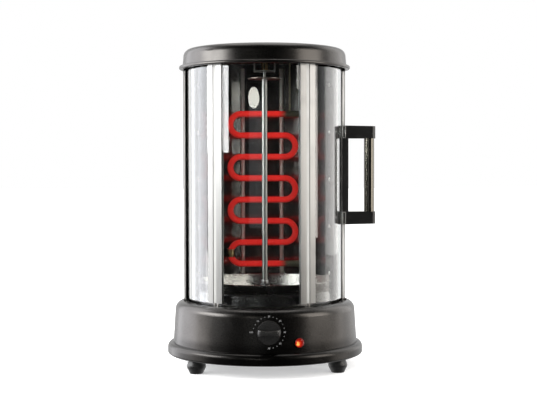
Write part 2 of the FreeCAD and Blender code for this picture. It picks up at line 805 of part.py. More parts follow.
def make_heater():
    element = doc.addObject("Part::Feature", "heater_element")
    path = heater_path()
    start = FreeCAD.Vector(size("heater_end"), size("heater_back"), size("heater_first"))
    section = Part.Wire(Part.makeCircle(size("heater_tube / 2"), start, FreeCAD.Vector(1, 0, 0)))
    element.Shape = path.makePipeShell([section], True, False)
    node(element, "heater_element")
    expected = math.pi * size("heater_tube / 2") ** 2 * path.Length
    print("heater volume over section times length", round(element.Shape.Volume / expected, 4))

    make_heater_ends()


def make_heater_ends():
    """Terminals between the heater's cold ends and the reflector, and the sleeve that hangs it."""
    back, tube_end = size("heater_back"), size("heater_end")
    bead_end = tube_end + size("terminal_length")
    neck = size("terminal_neck_radius")
    wall = between([(y, x) for x, y in reversed(reflector_points())], back + neck)
    levels = [size("heater_first"), size("heater_last")]
    across = FreeCAD.Vector(1, 0, 0)
    beads = []
    for level in levels:
        bead = Part.makeCylinder(size("terminal_radius"), bead_end - tube_end,
                                 FreeCAD.Vector(tube_end, back, level), across)
        stub = Part.makeCylinder(neck, wall - bead_end, FreeCAD.Vector(bead_end, back, level), across)
        beads.append(bead.fuse(stub).removeSplitter())
    terminals = doc.addObject("Part::Feature", "heater_terminals")
    terminals.Shape = Part.makeCompound(beads)
    node(terminals, "heater_terminals")

    foot = levels[1] + size("heater_tube / 2")
    sleeve = doc.addObject("Part::Cylinder", "heater_sleeve")
    sleeve.setExpression("Radius", formula("sleeve_radius"))
    sleeve.setExpression("Height", formula("ceiling_top - heater_last - heater_tube / 2"))
    sleeve.Placement = upright(size("sleeve_across"), back, foot)
    node(sleeve, "heater_sleeve")


def make_heater_clip():
    """Bent strip that holds the heater's lowest left bend off the reflector."""
    clip = doc.addObject("Part::Feature", "heater_clip")
    half, bend, back = size("heater_half"), size("bend_radius"), size("heater_back")
    tube, sheet_gauge, width = size("heater_tube / 2"), size("clip_sheet"), size("clip_width")
    level = size("heater_first") + bend
    reach = half + bend
    wall = between(reflector_points(), reach + tube + sheet_gauge)
    outer = Part.makeCylinder(tube + sheet_gauge, width, FreeCAD.Vector(-reach, back, level - width / 2))
    strap = Part.makeBox(sheet_gauge, wall - back, width,
                         FreeCAD.Vector(-reach - tube - sheet_gauge, back, level - width / 2))
    bore = heater_path().makePipeShell([bore_section()], True, False)
    clip.Shape = outer.fuse(strap).cut(bore).removeSplitter()
    node(clip, "heater_clip")


def bore_section():
    start = FreeCAD.Vector(size("heater_end"), size("heater_back"), size("heater_first"))
    return Part.Wire(Part.makeCircle(size("heater_tube / 2"), start, FreeCAD.Vector(1, 0, 0)))


def reflector_points():
    """Half of the reflector's inner face seen from above, from its middle to its right edge."""
    inner = size("reflector_inner")
    angles = [math.radians(size("reflector_fold_" + letter)) for letter in "abcde"]
    middle = (0.0, inner * math.cos(angles[0]))
    return [middle] + [(inner * math.sin(angle), inner * math.cos(angle)) for angle in angles]


def between(pairs, position):
    """The second value of the pairs, read off at a position between their first values."""
    for (low, first), (high, last) in zip(pairs, pairs[1:]):
        if low <= position <= high:
            return first + (last - first) * (position - low) / (high - low)
    return pairs[-1][1]


def make_spit():
    rod = new_body("spit_rod")
    turn(rod, "rod", [
        ("0", "spit_low"),
        ("spit_radius", "spit_low"),
        ("spit_radius", "spit_high"),
        ("neck_radius", "spit_high"),
        ("neck_radius", "spit_high + neck_length"),
        ("0", "spit_high + neck_length"),
    ])
    disc = new_body("spit_disc")
    sector(disc, "plate", "neck_radius", "disc_radius", "spit_high", "spit_high + disc_sheet")
    clip = new_body("spit_clip")
    half, leg = "clip_spread / 2", "bearing_sheet"
    foot = "socket_high - clip_slot_depth + tray_play"
    extrude(clip, "form", "XZ_Plane", outline([
        (f"0 - {half}", foot),
        (f"{leg} - {half}", foot),
        ("0 - spit_radius + 0.5", "socket_high + tray_play"),
        ("spit_radius - 0.5", "socket_high + tray_play"),
        (f"{half} - {leg}", foot),
        (half, foot),
        ("spit_radius + clip_sheet", "socket_high + clip_rise"),
        ("0 - spit_radius - clip_sheet", "socket_high + clip_rise"),
    ]), "spit_radius", both=True)
    sector(clip, "collar", "0", "spit_radius + clip_sheet", "socket_high + clip_rise * 0.6", "socket_high + clip_rise")
    sector(clip, "bore", "0", "spit_radius", "spit_low", "spit_high", cut=True)


def make_drive():
    socket = new_body("drive_socket")
    sector(socket, "hub", "drive_radius", "socket_radius", "socket_low", "socket_high")
    sector(socket, "floor", "0", "drive_radius", "socket_low", "spit_low - tray_play")
    sector(socket, "mouth", "0", "spit_radius + socket_play", "spit_low - tray_play", "socket_high", cut=True)
    extrude(socket, "slot", "XZ_Plane", outline([
        ("0 - socket_radius - 1", "socket_high - clip_slot_depth"),
        ("socket_radius + 1", "socket_high - clip_slot_depth"),
        ("socket_radius + 1", "socket_high + 1"),
        ("0 - socket_radius - 1", "socket_high + 1"),
    ]), "spit_radius + 2 * socket_play", cut=True, both=True)
    shaft = new_body("drive_shaft")
    sector(shaft, "rod", "0", "drive_radius", "motor_top + bracket_sheet + tray_play", "socket_low")

    motor = new_body("motor")
    sector(motor, "case", "0", "motor_radius", "motor_top - motor_height", "motor_top")
    sector(motor, "boss", "0", "floor_hole_radius", "motor_top", "motor_top + bracket_sheet")
    bracket = new_body("motor_bracket")
    wide, deep = "motor_radius + 14", "motor_radius * 0.6"
    extrude(bracket, "strap", "XZ_Plane", outline([
        (f"0 - ({wide})", "under_top - bracket_sheet"),
        (f"0 - ({wide}) + 10", "under_top - bracket_sheet"),
        (f"0 - ({wide}) + 10", "motor_top"),
        (f"({wide}) - 10", "motor_top"),
        (f"({wide}) - 10", "under_top - bracket_sheet"),
        (wide, "under_top - bracket_sheet"),
        (wide, "under_top"),
        (f"({wide}) - 10 - bracket_sheet", "under_top"),
        (f"({wide}) - 10 - bracket_sheet", "motor_top + bracket_sheet"),
        (f"0 - ({wide}) + 10 + bracket_sheet", "motor_top + bracket_sheet"),
        (f"0 - ({wide}) + 10 + bracket_sheet", "under_top"),
        (f"0 - ({wide})", "under_top"),
    ]), deep, both=True)
    sector(bracket, "boss_hole", "0", "floor_hole_radius", "motor_top", "motor_top + bracket_sheet", cut=True)


def make_top_bearing():
    body = new_body("bearing_bracket")
    half, gauge = "bearing_width / 2", "bearing_sheet"
    extrude(body, "channel", "XZ_Plane", outline([
        (f"0 - {half}", "bearing_low"),
        (half, "bearing_low"),
        (half, "ceiling_top"),
        (f"{half} - {gauge}", "ceiling_top"),
        (f"{half} - {gauge}", f"bearing_low + {gauge}"),
        (f"{gauge} - {half}", f"bearing_low + {gauge}"),
        (f"{gauge} - {half}", "ceiling_top"),
        (f"0 - {half}", "ceiling_top"),
    ]), "bearing_depth", both=True)
    sector(body, "bush_hole", "0", "bush_radius", "bearing_low", "ceiling_top", cut=True)
    bush = new_body("bearing_bush")
    turn(bush, "form", [
        ("neck_radius + bush_play", "bearing_low"),
        ("bush_radius", "bearing_low"),
        ("bush_radius", "bearing_low + bearing_sheet"),
        ("bush_radius + bush_flange", "bearing_low + bearing_sheet"),
        ("bush_radius + bush_flange", "bearing_low + 2 * bearing_sheet"),
        ("bush_radius", "bearing_low + 2 * bearing_sheet"),
        ("bush_radius", "ceiling_top"),
        ("neck_radius + bush_play", "ceiling_top"),
    ])


def make_timer():
    case = new_body("timer_case")
    back = "knob_wall - base_wall - timer_gap"
    extrude(case, "box", "YZ_Plane", outline([
        ("0 - timer_width / 2", "knob_height - timer_tall / 2"),
        ("timer_width / 2", "knob_height - timer_tall / 2"),
        ("timer_width / 2", "knob_height + timer_tall / 2 - timer_gap"),
        ("0 - timer_width / 2", "knob_height + timer_tall / 2 - timer_gap"),
    ]), "timer_depth", lift=f"{back} - timer_depth")
    extrude(case, "neck", "YZ_Plane", circle("0", "knob_height", "timer_neck_radius"),
            f"knob_wall - ({back})", lift=back)
    extrude(case, "bore", "YZ_Plane", circle("0", "knob_height", "timer_shaft_radius + bush_play"),
            f"knob_wall - ({back}) + 1", lift=back, cut=True, back=True)
    case.Placement = spin("0")
    shaft = new_body("timer_shaft")
    extrude(shaft, "rod", "YZ_Plane", circle("0", "knob_height", "timer_shaft_radius"),
            f"knob_seat + knob_depth / 2 - ({back}) - tray_play", lift=f"{back} + tray_play")
    shaft.Placement = spin("0")
    make_knob()


def make_knob():
    """Round knob with a finger hollow above and below its bar, modelled upright and laid on its side."""
    knob = new_body("timer_knob")
    turn(knob, "skirt", [
        ("0", "0"),
        ("knob_radius", "0"),
        ("knob_radius - knob_draft", "knob_depth"),
        ("0", "knob_depth"),
    ])
    rounded(knob, "brow", "knob_round", rims(knob, "knob_radius - knob_draft", "knob_depth"))
    reach = "knob_grip / 2 + hollow_radius"
    for name, way in (("hollow_high", reach), ("hollow_low", f"0 - ({reach})")):
        extrude(knob, name, "XY_Plane", circle("0", way, "hollow_radius"),
                "knob_depth - knob_skirt + 1", lift="knob_skirt", cut=True, back=True)
    rounded(knob, "hollow_foot", "hollow_round", rims(knob, "hollow_radius", "knob_skirt", reach))
    sector(knob, "socket", "0", "timer_shaft_radius", "0", "knob_depth / 2", cut=True)
    lay = FreeCAD.Rotation(FreeCAD.Vector(1, 0, 0), 90)
    knob.Placement = FreeCAD.Placement(FreeCAD.Vector(0, -size("knob_seat"), size("knob_height")), lay)


def make_lamp():
    """Bezel through the wall and the red lens in it, modelled upright and laid on their sides."""
    bezel = new_body("lamp_bezel")
    turn(bezel, "ring", [
        ("lamp_radius - 2 * lamp_rim", "0 - lamp_depth"),
        ("lamp_radius - lamp_rim", "0 - lamp_depth"),
        ("lamp_radius - lamp_rim", "0.2"),
        ("lamp_radius + 0.4", "0.2"),
        ("lamp_radius + 0.2", "1.2"),
        ("lamp_radius - 2 * lamp_rim", "1.2"),
    ])
    lens = new_body("lamp_lens")
    turn(lens, "dome", [
        ("0", "0 - lamp_depth + 1"),
        ("lamp_radius - 2 * lamp_rim", "0 - lamp_depth + 1"),
        ("lamp_radius - 2 * lamp_rim", "1.2"),
        ("lamp_radius", "1.2"),
        ("lamp_radius - 0.6", "lamp_proud - 1.2"),
        ("lamp_radius - 2.6", "lamp_proud"),
        ("0", "lamp_proud"),
    ])
    lay = FreeCAD.Placement(FreeCAD.Vector(), FreeCAD.Rotation(FreeCAD.Vector(0, 1, 0), 90))
    for item in (bezel, lens):
        item.Placement = spin("lamp_angle", size("lamp_seat"), size("lamp_height")).multiply(lay)


def make_gland():
    """Bush for the supply cable in the back of the base."""
    gland = new_body("cable_gland")
    turn(gland, "form", [
        ("gland_bore", "0 - base_wall - 2"),
        ("gland_radius - 2", "0 - base_wall - 2"),
        ("gland_radius - 2", "0.2"),
        ("gland_radius", "0.2"),
        ("gland_radius - 1", "gland_length * 0.3"),
        ("gland_bore + 1.5", "gland_length"),
        ("gland_bore", "gland_length"),
    ])
    lay = FreeCAD.Placement(FreeCAD.Vector(), FreeCAD.Rotation(FreeCAD.Vector(0, 1, 0), 90))
    gland.Placement = spin("180", size("gland_seat"), size("gland_height")).multiply(lay)


make_base_housing()
make_base_plate()
make_feet()
make_chamber_floor()
make_drip_tray()
make_rear_housing()
make_reflector()
make_rivets()
make_lid()
make_ceiling()
make_door()
make_handle()
make_heater()
make_heater_clip()
make_spit()
make_drive()
make_top_bearing()
make_timer()
make_lamp()
make_gland()
doc.recompute()

# Each piece is drawn about the spit's axis, then moved so that X is 0 in the middle of the whole width
for item in nodes:
    middle = FreeCAD.Placement(FreeCAD.Vector(size("axis_across"), 0, 0), FreeCAD.Rotation())
    item.Placement = middle.multiply(item.Placement)
doc.recompute()

faults = [f"{item.Name} {item.State}" for item in doc.Objects if {"Invalid", "Error"} & set(item.State)]
for item in nodes:
    if item.Shape.isNull() or not item.Shape.isValid():
        faults.append(f"{item.Label} has no valid shape")
if faults:
    raise RuntimeError("; ".join(faults))

os.makedirs("parts", exist_ok=True)
for item in nodes:
    item.Shape.exportStep(f"parts/{item.Label}.step")
print(len(nodes), "pieces written")
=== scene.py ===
import json
import math

import bpy
from mathutils import Matrix, Vector


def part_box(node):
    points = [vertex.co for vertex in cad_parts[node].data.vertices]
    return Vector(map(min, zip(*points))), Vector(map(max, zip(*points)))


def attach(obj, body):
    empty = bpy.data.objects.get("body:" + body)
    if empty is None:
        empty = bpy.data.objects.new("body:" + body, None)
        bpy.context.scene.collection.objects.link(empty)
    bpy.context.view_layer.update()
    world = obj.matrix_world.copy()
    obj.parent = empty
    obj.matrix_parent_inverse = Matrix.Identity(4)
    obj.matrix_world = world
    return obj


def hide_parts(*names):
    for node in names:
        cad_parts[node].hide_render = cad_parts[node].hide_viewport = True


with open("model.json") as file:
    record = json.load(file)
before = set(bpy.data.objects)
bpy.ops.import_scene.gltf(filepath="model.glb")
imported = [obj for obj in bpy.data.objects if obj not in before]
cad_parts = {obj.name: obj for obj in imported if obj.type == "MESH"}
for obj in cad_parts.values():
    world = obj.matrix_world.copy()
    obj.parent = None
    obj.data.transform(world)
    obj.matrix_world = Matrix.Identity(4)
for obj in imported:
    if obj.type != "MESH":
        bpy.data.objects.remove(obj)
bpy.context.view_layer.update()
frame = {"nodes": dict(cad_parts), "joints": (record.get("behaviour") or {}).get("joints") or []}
nodes = frame["nodes"]
print("frame loaded")

doorTurn = next(joint for joint in frame["joints"] if joint["name"] == "door_turn")
axis = Vector((doorTurn["pos_m"][0], doorTurn["pos_m"][1], 0))  # upright, down the spit


def around(angle, radius, height):
    # A point round the axis, at an angle from the front, anticlockwise from above
    turn = math.radians(angle)
    return axis + Vector((radius * math.sin(turn), -radius * math.cos(turn), height))


# Nodes

noiseLow, noiseHigh = 0.3, 0.7  # noise mostly lies between these


def linkOrSet(tree, socket, value):
    if isinstance(value, bpy.types.NodeSocket):
        tree.links.new(value, socket)
    else:
        socket.default_value = value


def addNode(tree, kind, settings=None, **values):
    # A node with its settings, and its inputs either linked or set
    made = tree.nodes.new(kind)
    for name, value in (settings or {}).items():
        setattr(made, name, value)
    for label, value in values.items():
        linkOrSet(tree, made.inputs[label.replace("_", " ")], value)
    return made


def mathNode(tree, operation, *values, clamp=False):
    made = addNode(tree, "ShaderNodeMath", {"operation": operation, "use_clamp": clamp})
    for socket, value in zip(made.inputs, values):
        linkOrSet(tree, socket, value)
    return made.outputs[0]


def objectPlace(tree):
    return tree.nodes.new("ShaderNodeTexCoord").outputs["Object"]


def splitVector(tree, vector):
    parts = tree.nodes.new("ShaderNodeSeparateXYZ")
    tree.links.new(vector, parts.inputs[0])
    return parts.outputs


def surfaceNormal(tree):
    return splitVector(tree, tree.nodes.new("ShaderNodeNewGeometry").outputs["Normal"])


def spread(tree, value, low, high, fromLow=noiseLow, fromHigh=noiseHigh):
    # One range of numbers turned into another
    made = addNode(tree, "ShaderNodeMapRange", Value=value, From_Min=fromLow, From_Max=fromHigh,
                   To_Min=low, To_Max=high)
    return made.outputs[0]


def tones(tree, value, dark, light):
    # A noise value turned into a tone between two colours
    ramp = tree.nodes.new("ShaderNodeValToRGB")
    stops = ramp.color_ramp.elements
    for stop, position, tone in zip(stops, (noiseLow, noiseHigh), (dark, light)):
        stop.position = position
        stop.color = (*tone, 1)
    tree.links.new(value, ramp.inputs[0])
    return ramp.outputs[0]


def mixTones(tree, share, first, second):
    # The first colour where the share is 0, the second where it is 1
    made = addNode(tree, "ShaderNodeMix", {"data_type": "RGBA"})
    linkOrSet(tree, made.inputs[0], share)
    colorInputs = [socket for socket in made.inputs if socket.type == "RGBA"]
    for socket, value in zip(colorInputs, (first, second)):
        linkOrSet(tree, socket, (*value, 1) if isinstance(value, tuple) else value)
    return next(socket for socket in made.outputs if socket.type == "RGBA")


def addBump(tree, shader, height, strength, distance=0.0002):
    bump = addNode(tree, "ShaderNodeBump", Height=height, Strength=strength, Distance=distance)
    tree.links.new(bump.outputs[0], shader.inputs["Normal"])


# Shared node groups

def newGroup(name, inputs, outputs):
    group = bpy.data.node_groups.new(name, "ShaderNodeTree")
    for label, start in inputs.items():
        kind = "NodeSocketVector" if isinstance(start, tuple) else "NodeSocketFloat"
        socket = group.interface.new_socket(label, in_out="INPUT", socket_type=kind)
        socket.default_value = start
    for label in outputs:
        group.interface.new_socket(label, in_out="OUTPUT", socket_type="NodeSocketFloat")
    return group, group.nodes.new("NodeGroupInput"), group.nodes.new("NodeGroupOutput")


grainLook = {"fineDetail": 3.0, "coarseDetail": 5.0}


def makeGrainGroup():
    # Fine grain and larger mottling of a painted or moulded surface
    group, start, end = newGroup("surfaceGrain", {"Fine": 900.0, "Coarse": 30.0},
                                 ["Grain", "Mottle"])
    place = objectPlace(group)
    fine = addNode(group, "ShaderNodeTexNoise", Vector=place, Scale=start.outputs["Fine"],
                   Detail=grainLook["fineDetail"])
    coarse = addNode(group, "ShaderNodeTexNoise", Vector=place, Scale=start.outputs["Coarse"],
                     Detail=grainLook["coarseDetail"])
    group.links.new(fine.outputs["Fac"], end.inputs["Grain"])
    group.links.new(coarse.outputs["Fac"], end.inputs["Mottle"])
    return group


brushLook = {"streakDetail": 4.0, "smearScale": 38.0, "smearDetail": 3.0, "smearTwist": 0.6}


def makeBrushGroup():
    # Brushing: noise drawn out along the direction whose stretch is small
    group, start, end = newGroup("brushMarks", {"Stretch": (900.0, 900.0, 8.0)},
                                 ["Streak", "Smear"])
    place = objectPlace(group)
    drawn = addNode(group, "ShaderNodeVectorMath", {"operation": "MULTIPLY"})
    group.links.new(place, drawn.inputs[0])
    group.links.new(start.outputs["Stretch"], drawn.inputs[1])
    streak = addNode(group, "ShaderNodeTexNoise", Vector=drawn.outputs[0], Scale=1.0,
                     Detail=brushLook["streakDetail"])
    smear = addNode(group, "ShaderNodeTexNoise", Vector=place, Scale=brushLook["smearScale"],
                    Detail=brushLook["smearDetail"], Distortion=brushLook["smearTwist"])
    group.links.new(streak.outputs["Fac"], end.inputs["Streak"])
    group.links.new(smear.outputs["Fac"], end.inputs["Smear"])
    return group


handledLook = {
    "patchDetail": 6.0,
    "patchTwist": 1.2,
    "patchFrom": 0.52,
    "patchTo": 0.72,
    "levelFrom": 0.6,
    "speckScale": 260.0,
    "speckDetail": 4.0,
}


def makeHandledGroup():
    # Faint smudges, and dust where the surface looks up
    look = handledLook
    group, start, end = newGroup("handledFilm", {"Spread": 22.0}, ["Smudge", "Dust"])
    place = objectPlace(group)
    patch = addNode(group, "ShaderNodeTexNoise", Vector=place, Scale=start.outputs["Spread"],
                    Detail=look["patchDetail"], Distortion=look["patchTwist"])
    smudge = spread(group, patch.outputs["Fac"], 0.0, 1.0, look["patchFrom"], look["patchTo"])
    level = spread(group, surfaceNormal(group)["Z"], 0.0, 1.0, look["levelFrom"], 1.0)
    specks = addNode(group, "ShaderNodeTexNoise", Vector=place, Scale=look["speckScale"],
                     Detail=look["speckDetail"])
    settled = mathNode(group, "MULTIPLY", level, specks.outputs["Fac"])
    group.links.new(smudge, end.inputs["Smudge"])
    group.links.new(settled, end.inputs["Dust"])
    return group


grainGroup = makeGrainGroup()
brushGroup = makeBrushGroup()
handledGroup = makeHandledGroup()


def useGroup(tree, group, **values):
    made = addNode(tree, "ShaderNodeGroup", {"node_tree": group}, **values)
    return made.outputs


def newMaterial(name):
    material = bpy.data.materials.new(name)
    material.use_nodes = True
    tree = material.node_tree
    return material, tree, tree.nodes["Principled BSDF"]


def setShader(shader, **values):
    for label, value in values.items():
        shader.inputs[label.replace("_", " ")].default_value = value


# Paints and metals

paintFilm = {
    "dust": 0.12,
    "dustTone": (0.35, 0.33, 0.3),
    "smudge": 0.05,
    "smoother": 0.03,
    "rougher": 0.05,
    "coatRough": 0.12,
}


def paintMaterial(name, dark, light, rough, metallic=0.0, coat=0.0, grain=900.0, bump=0.15):
    # Paint, enamel or moulded plastic with grain, smudges and a little dust
    look = paintFilm
    material, tree, shader = newMaterial(name)
    setShader(shader, Metallic=metallic, Coat_Weight=coat, Coat_Roughness=look["coatRough"])
    surface = useGroup(tree, grainGroup, Fine=grain)
    film = useGroup(tree, handledGroup)
    paint = tones(tree, surface["Mottle"], dark, light)
    dust = mathNode(tree, "MULTIPLY", film["Dust"], look["dust"])
    tree.links.new(mixTones(tree, dust, paint, look["dustTone"]), shader.inputs["Base Color"])
    base = spread(tree, surface["Grain"], rough - look["smoother"], rough + look["rougher"])
    smudged = mathNode(tree, "MULTIPLY_ADD", film["Smudge"], look["smudge"], base)
    tree.links.new(smudged, shader.inputs["Roughness"])
    addBump(tree, shader, surface["Grain"], bump)
    return material


metalFilm = {
    "spread": 30.0,
    "smudge": 0.07,
    "smoother": 0.05,
    "rougher": 0.08,
    "tintShare": 0.8,
    "tintFrom": 0.45,
    "bumpDepth": 0.00005,
}


def brushedMaterial(name, dark, light, rough, stretch, bump=0.08, tint=None):
    # Metal brushed in one direction, with smudges, and a heat tint where it has one
    look = metalFilm
    material, tree, shader = newMaterial(name)
    setShader(shader, Metallic=1.0)
    marks = useGroup(tree, brushGroup, Stretch=stretch)
    film = useGroup(tree, handledGroup, Spread=look["spread"])
    metal = tones(tree, marks["Streak"], dark, light)
    if tint:
        heated = spread(tree, marks["Smear"], 0.0, look["tintShare"], look["tintFrom"], noiseHigh)
        metal = mixTones(tree, heated, metal, tint)
    tree.links.new(metal, shader.inputs["Base Color"])
    base = spread(tree, marks["Streak"], rough - look["smoother"], rough + look["rougher"])
    smudged = mathNode(tree, "MULTIPLY_ADD", film["Smudge"], look["smudge"], base)
    tree.links.new(smudged, shader.inputs["Roughness"])
    addBump(tree, shader, marks["Streak"], bump, look["bumpDepth"])
    return material


paintLooks = {
    "darkEnamel": {"dark": (0.056, 0.053, 0.0505), "light": (0.07, 0.067, 0.064), "rough": 0.27,
                   "metallic": 1.0, "grain": 1400.0, "bump": 0.04},
    "blackEnamel": {"dark": (0.004, 0.004, 0.004), "light": (0.008, 0.008, 0.0075), "rough": 0.25},
    "footPlastic": {"dark": (0.006, 0.006, 0.006), "light": (0.011, 0.011, 0.011), "rough": 0.4},
    "handlePlastic": {"dark": (0.005, 0.005, 0.005), "light": (0.009, 0.0085, 0.008), "rough": 0.32,
                      "grain": 700.0, "bump": 0.04},
    "knobPlastic": {"dark": (0.007, 0.0067, 0.0064), "light": (0.011, 0.0106, 0.0102),
                    "rough": 0.28, "bump": 0.02},
    "timerPlastic": {"dark": (0.6, 0.58, 0.52), "light": (0.7, 0.68, 0.62), "rough": 0.5},
    "terminalCeramic": {"dark": (0.66, 0.62, 0.54), "light": (0.78, 0.75, 0.68), "rough": 0.25,
                        "coat": 0.3},
    "socketNylon": {"dark": (0.03, 0.03, 0.03), "light": (0.05, 0.05, 0.05), "rough": 0.5},
    # A pale strip for the housing edge's reflection of the white paper behind: a painted reflection
    "paleHemReflection": {"dark": (0.5, 0.49, 0.47), "light": (0.6, 0.59, 0.57), "rough": 0.35},
    "linerGrey": {"dark": (0.3, 0.3, 0.285), "light": (0.36, 0.36, 0.345), "rough": 0.4},
    "dialPrint": {"dark": (0.19, 0.19, 0.19), "light": (0.26, 0.26, 0.26), "rough": 0.5},
}

metalLooks = {
    "zincSteel": {"dark": (0.5, 0.51, 0.52), "light": (0.66, 0.67, 0.68), "rough": 0.34,
                  "stretch": (40.0, 40.0, 40.0)},
    "screwSteel": {"dark": (0.5, 0.51, 0.52), "light": (0.66, 0.66, 0.66), "rough": 0.26,
                   "stretch": (300.0, 300.0, 60.0)},
    "rivetSteel": {"dark": (0.72, 0.72, 0.7), "light": (0.85, 0.85, 0.83), "rough": 0.5,
                   "stretch": (300.0, 300.0, 60.0)},
    "housingSteel": {"dark": (0.36, 0.36, 0.355), "light": (0.46, 0.46, 0.455), "rough": 0.34,
                     "stretch": (900.0, 900.0, 10.0)},
    "barAluminium": {"dark": (0.27, 0.27, 0.265), "light": (0.32, 0.32, 0.315), "rough": 0.36,
                     "stretch": (1400.0, 1400.0, 12.0)},
    "gripSteel": {"dark": (0.11, 0.1, 0.085), "light": (0.15, 0.14, 0.12), "rough": 0.16,
                  "stretch": (420.0, 420.0, 7.0), "bump": 0.02},
    "bracketSteel": {"dark": (0.34, 0.34, 0.33), "light": (0.44, 0.44, 0.43), "rough": 0.45,
                     "stretch": (40.0, 40.0, 40.0)},
    "spitSteel": {"dark": (0.24, 0.24, 0.232), "light": (0.33, 0.33, 0.32), "rough": 0.32,
                  "stretch": (500.0, 500.0, 14.0)},
    "turnedSteel": {"dark": (0.62, 0.6, 0.57), "light": (0.74, 0.72, 0.69), "rough": 0.14,
                    "stretch": (30.0, 30.0, 900.0)},
    "traySteel": {"dark": (0.2, 0.194, 0.182), "light": (0.27, 0.263, 0.252), "rough": 0.22,
                  "stretch": (70.0, 70.0, 70.0)},
    "discSteel": {"dark": (0.15, 0.13, 0.12), "light": (0.21, 0.19, 0.18), "rough": 0.3,
                  "stretch": (120.0, 120.0, 120.0), "tint": (0.16, 0.11, 0.09)},
    "clipBrass": {"dark": (0.2, 0.15, 0.07), "light": (0.3, 0.23, 0.12), "rough": 0.28,
                  "stretch": (260.0, 260.0, 40.0), "tint": (0.16, 0.1, 0.05)},
    # Much paler than the reflector sheet the beads are pressed in: a painted highlight along the
    # folds
    "beadHighlightSteel": {"dark": (0.6, 0.59, 0.56), "light": (0.75, 0.74, 0.7), "rough": 0.42,
                  "stretch": (900.0, 900.0, 8.0)},
    "clipSteel": {"dark": (0.3, 0.3, 0.29), "light": (0.4, 0.4, 0.39), "rough": 0.4,
                  "stretch": (300.0, 300.0, 60.0)},
}


# Glass, heater, lamp, reflector and sleeve

glassLook = {
    "tone": (0.93, 0.96, 0.95),
    "paleTone": (0.97, 0.985, 0.98),
    "shadow": 0.12,
    "index": 1.5,
    "grease": 0.015,
    "greaseSpread": 14.0,
    "fine": 400.0,
    "coarse": 20.0,
}


def makeGlass():
    # Clear door glass with a faint film of grease; its shadow is thin
    look = glassLook
    material, tree, shader = newMaterial("doorGlass")
    setShader(shader, Transmission_Weight=1.0, IOR=look["index"], Base_Color=(*look["tone"], 1))
    film = useGroup(tree, handledGroup, Spread=look["greaseSpread"])
    surface = useGroup(tree, grainGroup, Fine=look["fine"], Coarse=look["coarse"])
    haze = mathNode(tree, "MULTIPLY", film["Smudge"], look["grease"])
    tree.links.new(haze, shader.inputs["Roughness"])
    tree.links.new(tones(tree, surface["Mottle"], look["tone"], look["paleTone"]),
                   shader.inputs["Base Color"])
    rays = tree.nodes.new("ShaderNodeLightPath")
    clear = mathNode(tree, "MULTIPLY", rays.outputs["Is Shadow Ray"], 1.0 - look["shadow"])
    tree.links.new(mathNode(tree, "SUBTRACT", 1.0, clear), shader.inputs["Alpha"])
    return material


heaterLook = {
    "core": (1.5, 0.046, 0.036),
    # The rim and under tones are the glow's painted shade at the tube's sides and underside
    "rim": (0.36, 0.019, 0.014),
    "rimCurve": 0.7,
    "rimFrom": 0.75,
    "rimTo": 0.2,
    "under": (0.46, 0.022, 0.017),
    "underFrom": -0.35,
    "underTo": -0.95,
    "ash": (0.03, 0.006, 0.005),
    "cold": (0.045, 0.045, 0.03),
    "coldPale": (0.09, 0.09, 0.06),
    "footShare": 0.8,
    "topShare": 1.1,
    "mirrored": 0.45,
    "dullSide": 0.55,
    "dullFrom": 0.028,
    "patches": (0.86, 1.06),
    "hotEnd": 0.024,
    "coldFrom": 0.036,
    "runHalf": 0.012,
    "fine": 700.0,
    "coarse": 60.0,
    "rough": 0.5,
    "specular": 0.2,
    "bump": 0.2,
}


def makeHeater():
    # Heater sheath: it glows dull at its bends and not at all at its two right ends
    look = heaterLook
    material, tree, shader = newMaterial("heaterSheath")
    surface = useGroup(tree, grainGroup, Fine=look["fine"], Coarse=look["coarse"])
    place = splitVector(tree, objectPlace(tree))
    facing = surfaceNormal(tree)
    low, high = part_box("heater_element")
    cold = spread(tree, place["X"], 0.0, 1.0, axis.x + look["hotEnd"], axis.x + look["coldFrom"])
    above = mathNode(tree, "GREATER_THAN", place["Z"], high.z - look["runHalf"])
    below = mathNode(tree, "LESS_THAN", place["Z"], low.z + look["runHalf"])
    ends = mathNode(tree, "MULTIPLY", cold, mathNode(tree, "ADD", above, below))
    glow = mathNode(tree, "SUBTRACT", 1.0, ends, clamp=True)
    off = mathNode(tree, "ABSOLUTE", mathNode(tree, "SUBTRACT", place["X"], axis.x))
    side = spread(tree, off, 1.0, look["dullSide"], look["dullFrom"], high.x - axis.x)
    patchy = spread(tree, surface["Mottle"], *look["patches"])
    climb = spread(tree, place["Z"], look["footShare"], look["topShare"], low.z, high.z)
    rays = tree.nodes.new("ShaderNodeLightPath")
    seen = spread(tree, rays.outputs["Is Glossy Ray"], 1.0, look["mirrored"], 0.0, 1.0)
    heat = glow
    for share in (side, patchy, seen, climb):
        heat = mathNode(tree, "MULTIPLY", heat, share)
    # The glow is painted darker at the tube's sides and its underside: painted shade, while the
    # front keeps the full glow
    fore = mathNode(tree, "POWER", mathNode(tree, "ABSOLUTE", facing["Y"]), look["rimCurve"])
    sides = spread(tree, fore, 1.0, 0.0, look["rimTo"], look["rimFrom"])
    underShade = spread(tree, facing["Z"], 1.0, 0.0, look["underTo"], look["underFrom"])
    rounded = mixTones(tree, sides, look["core"], look["rim"])
    shaded = mixTones(tree, underShade, rounded, look["under"])
    tree.links.new(mixTones(tree, heat, (0.0, 0.0, 0.0), shaded), shader.inputs["Emission Color"])
    sheath = tones(tree, surface["Grain"], look["cold"], look["coldPale"])
    tree.links.new(mixTones(tree, glow, sheath, look["ash"]), shader.inputs["Base Color"])
    setShader(shader, Roughness=look["rough"], Specular_IOR_Level=look["specular"],
              Emission_Strength=1.0)
    addBump(tree, shader, surface["Grain"], look["bump"])
    return material


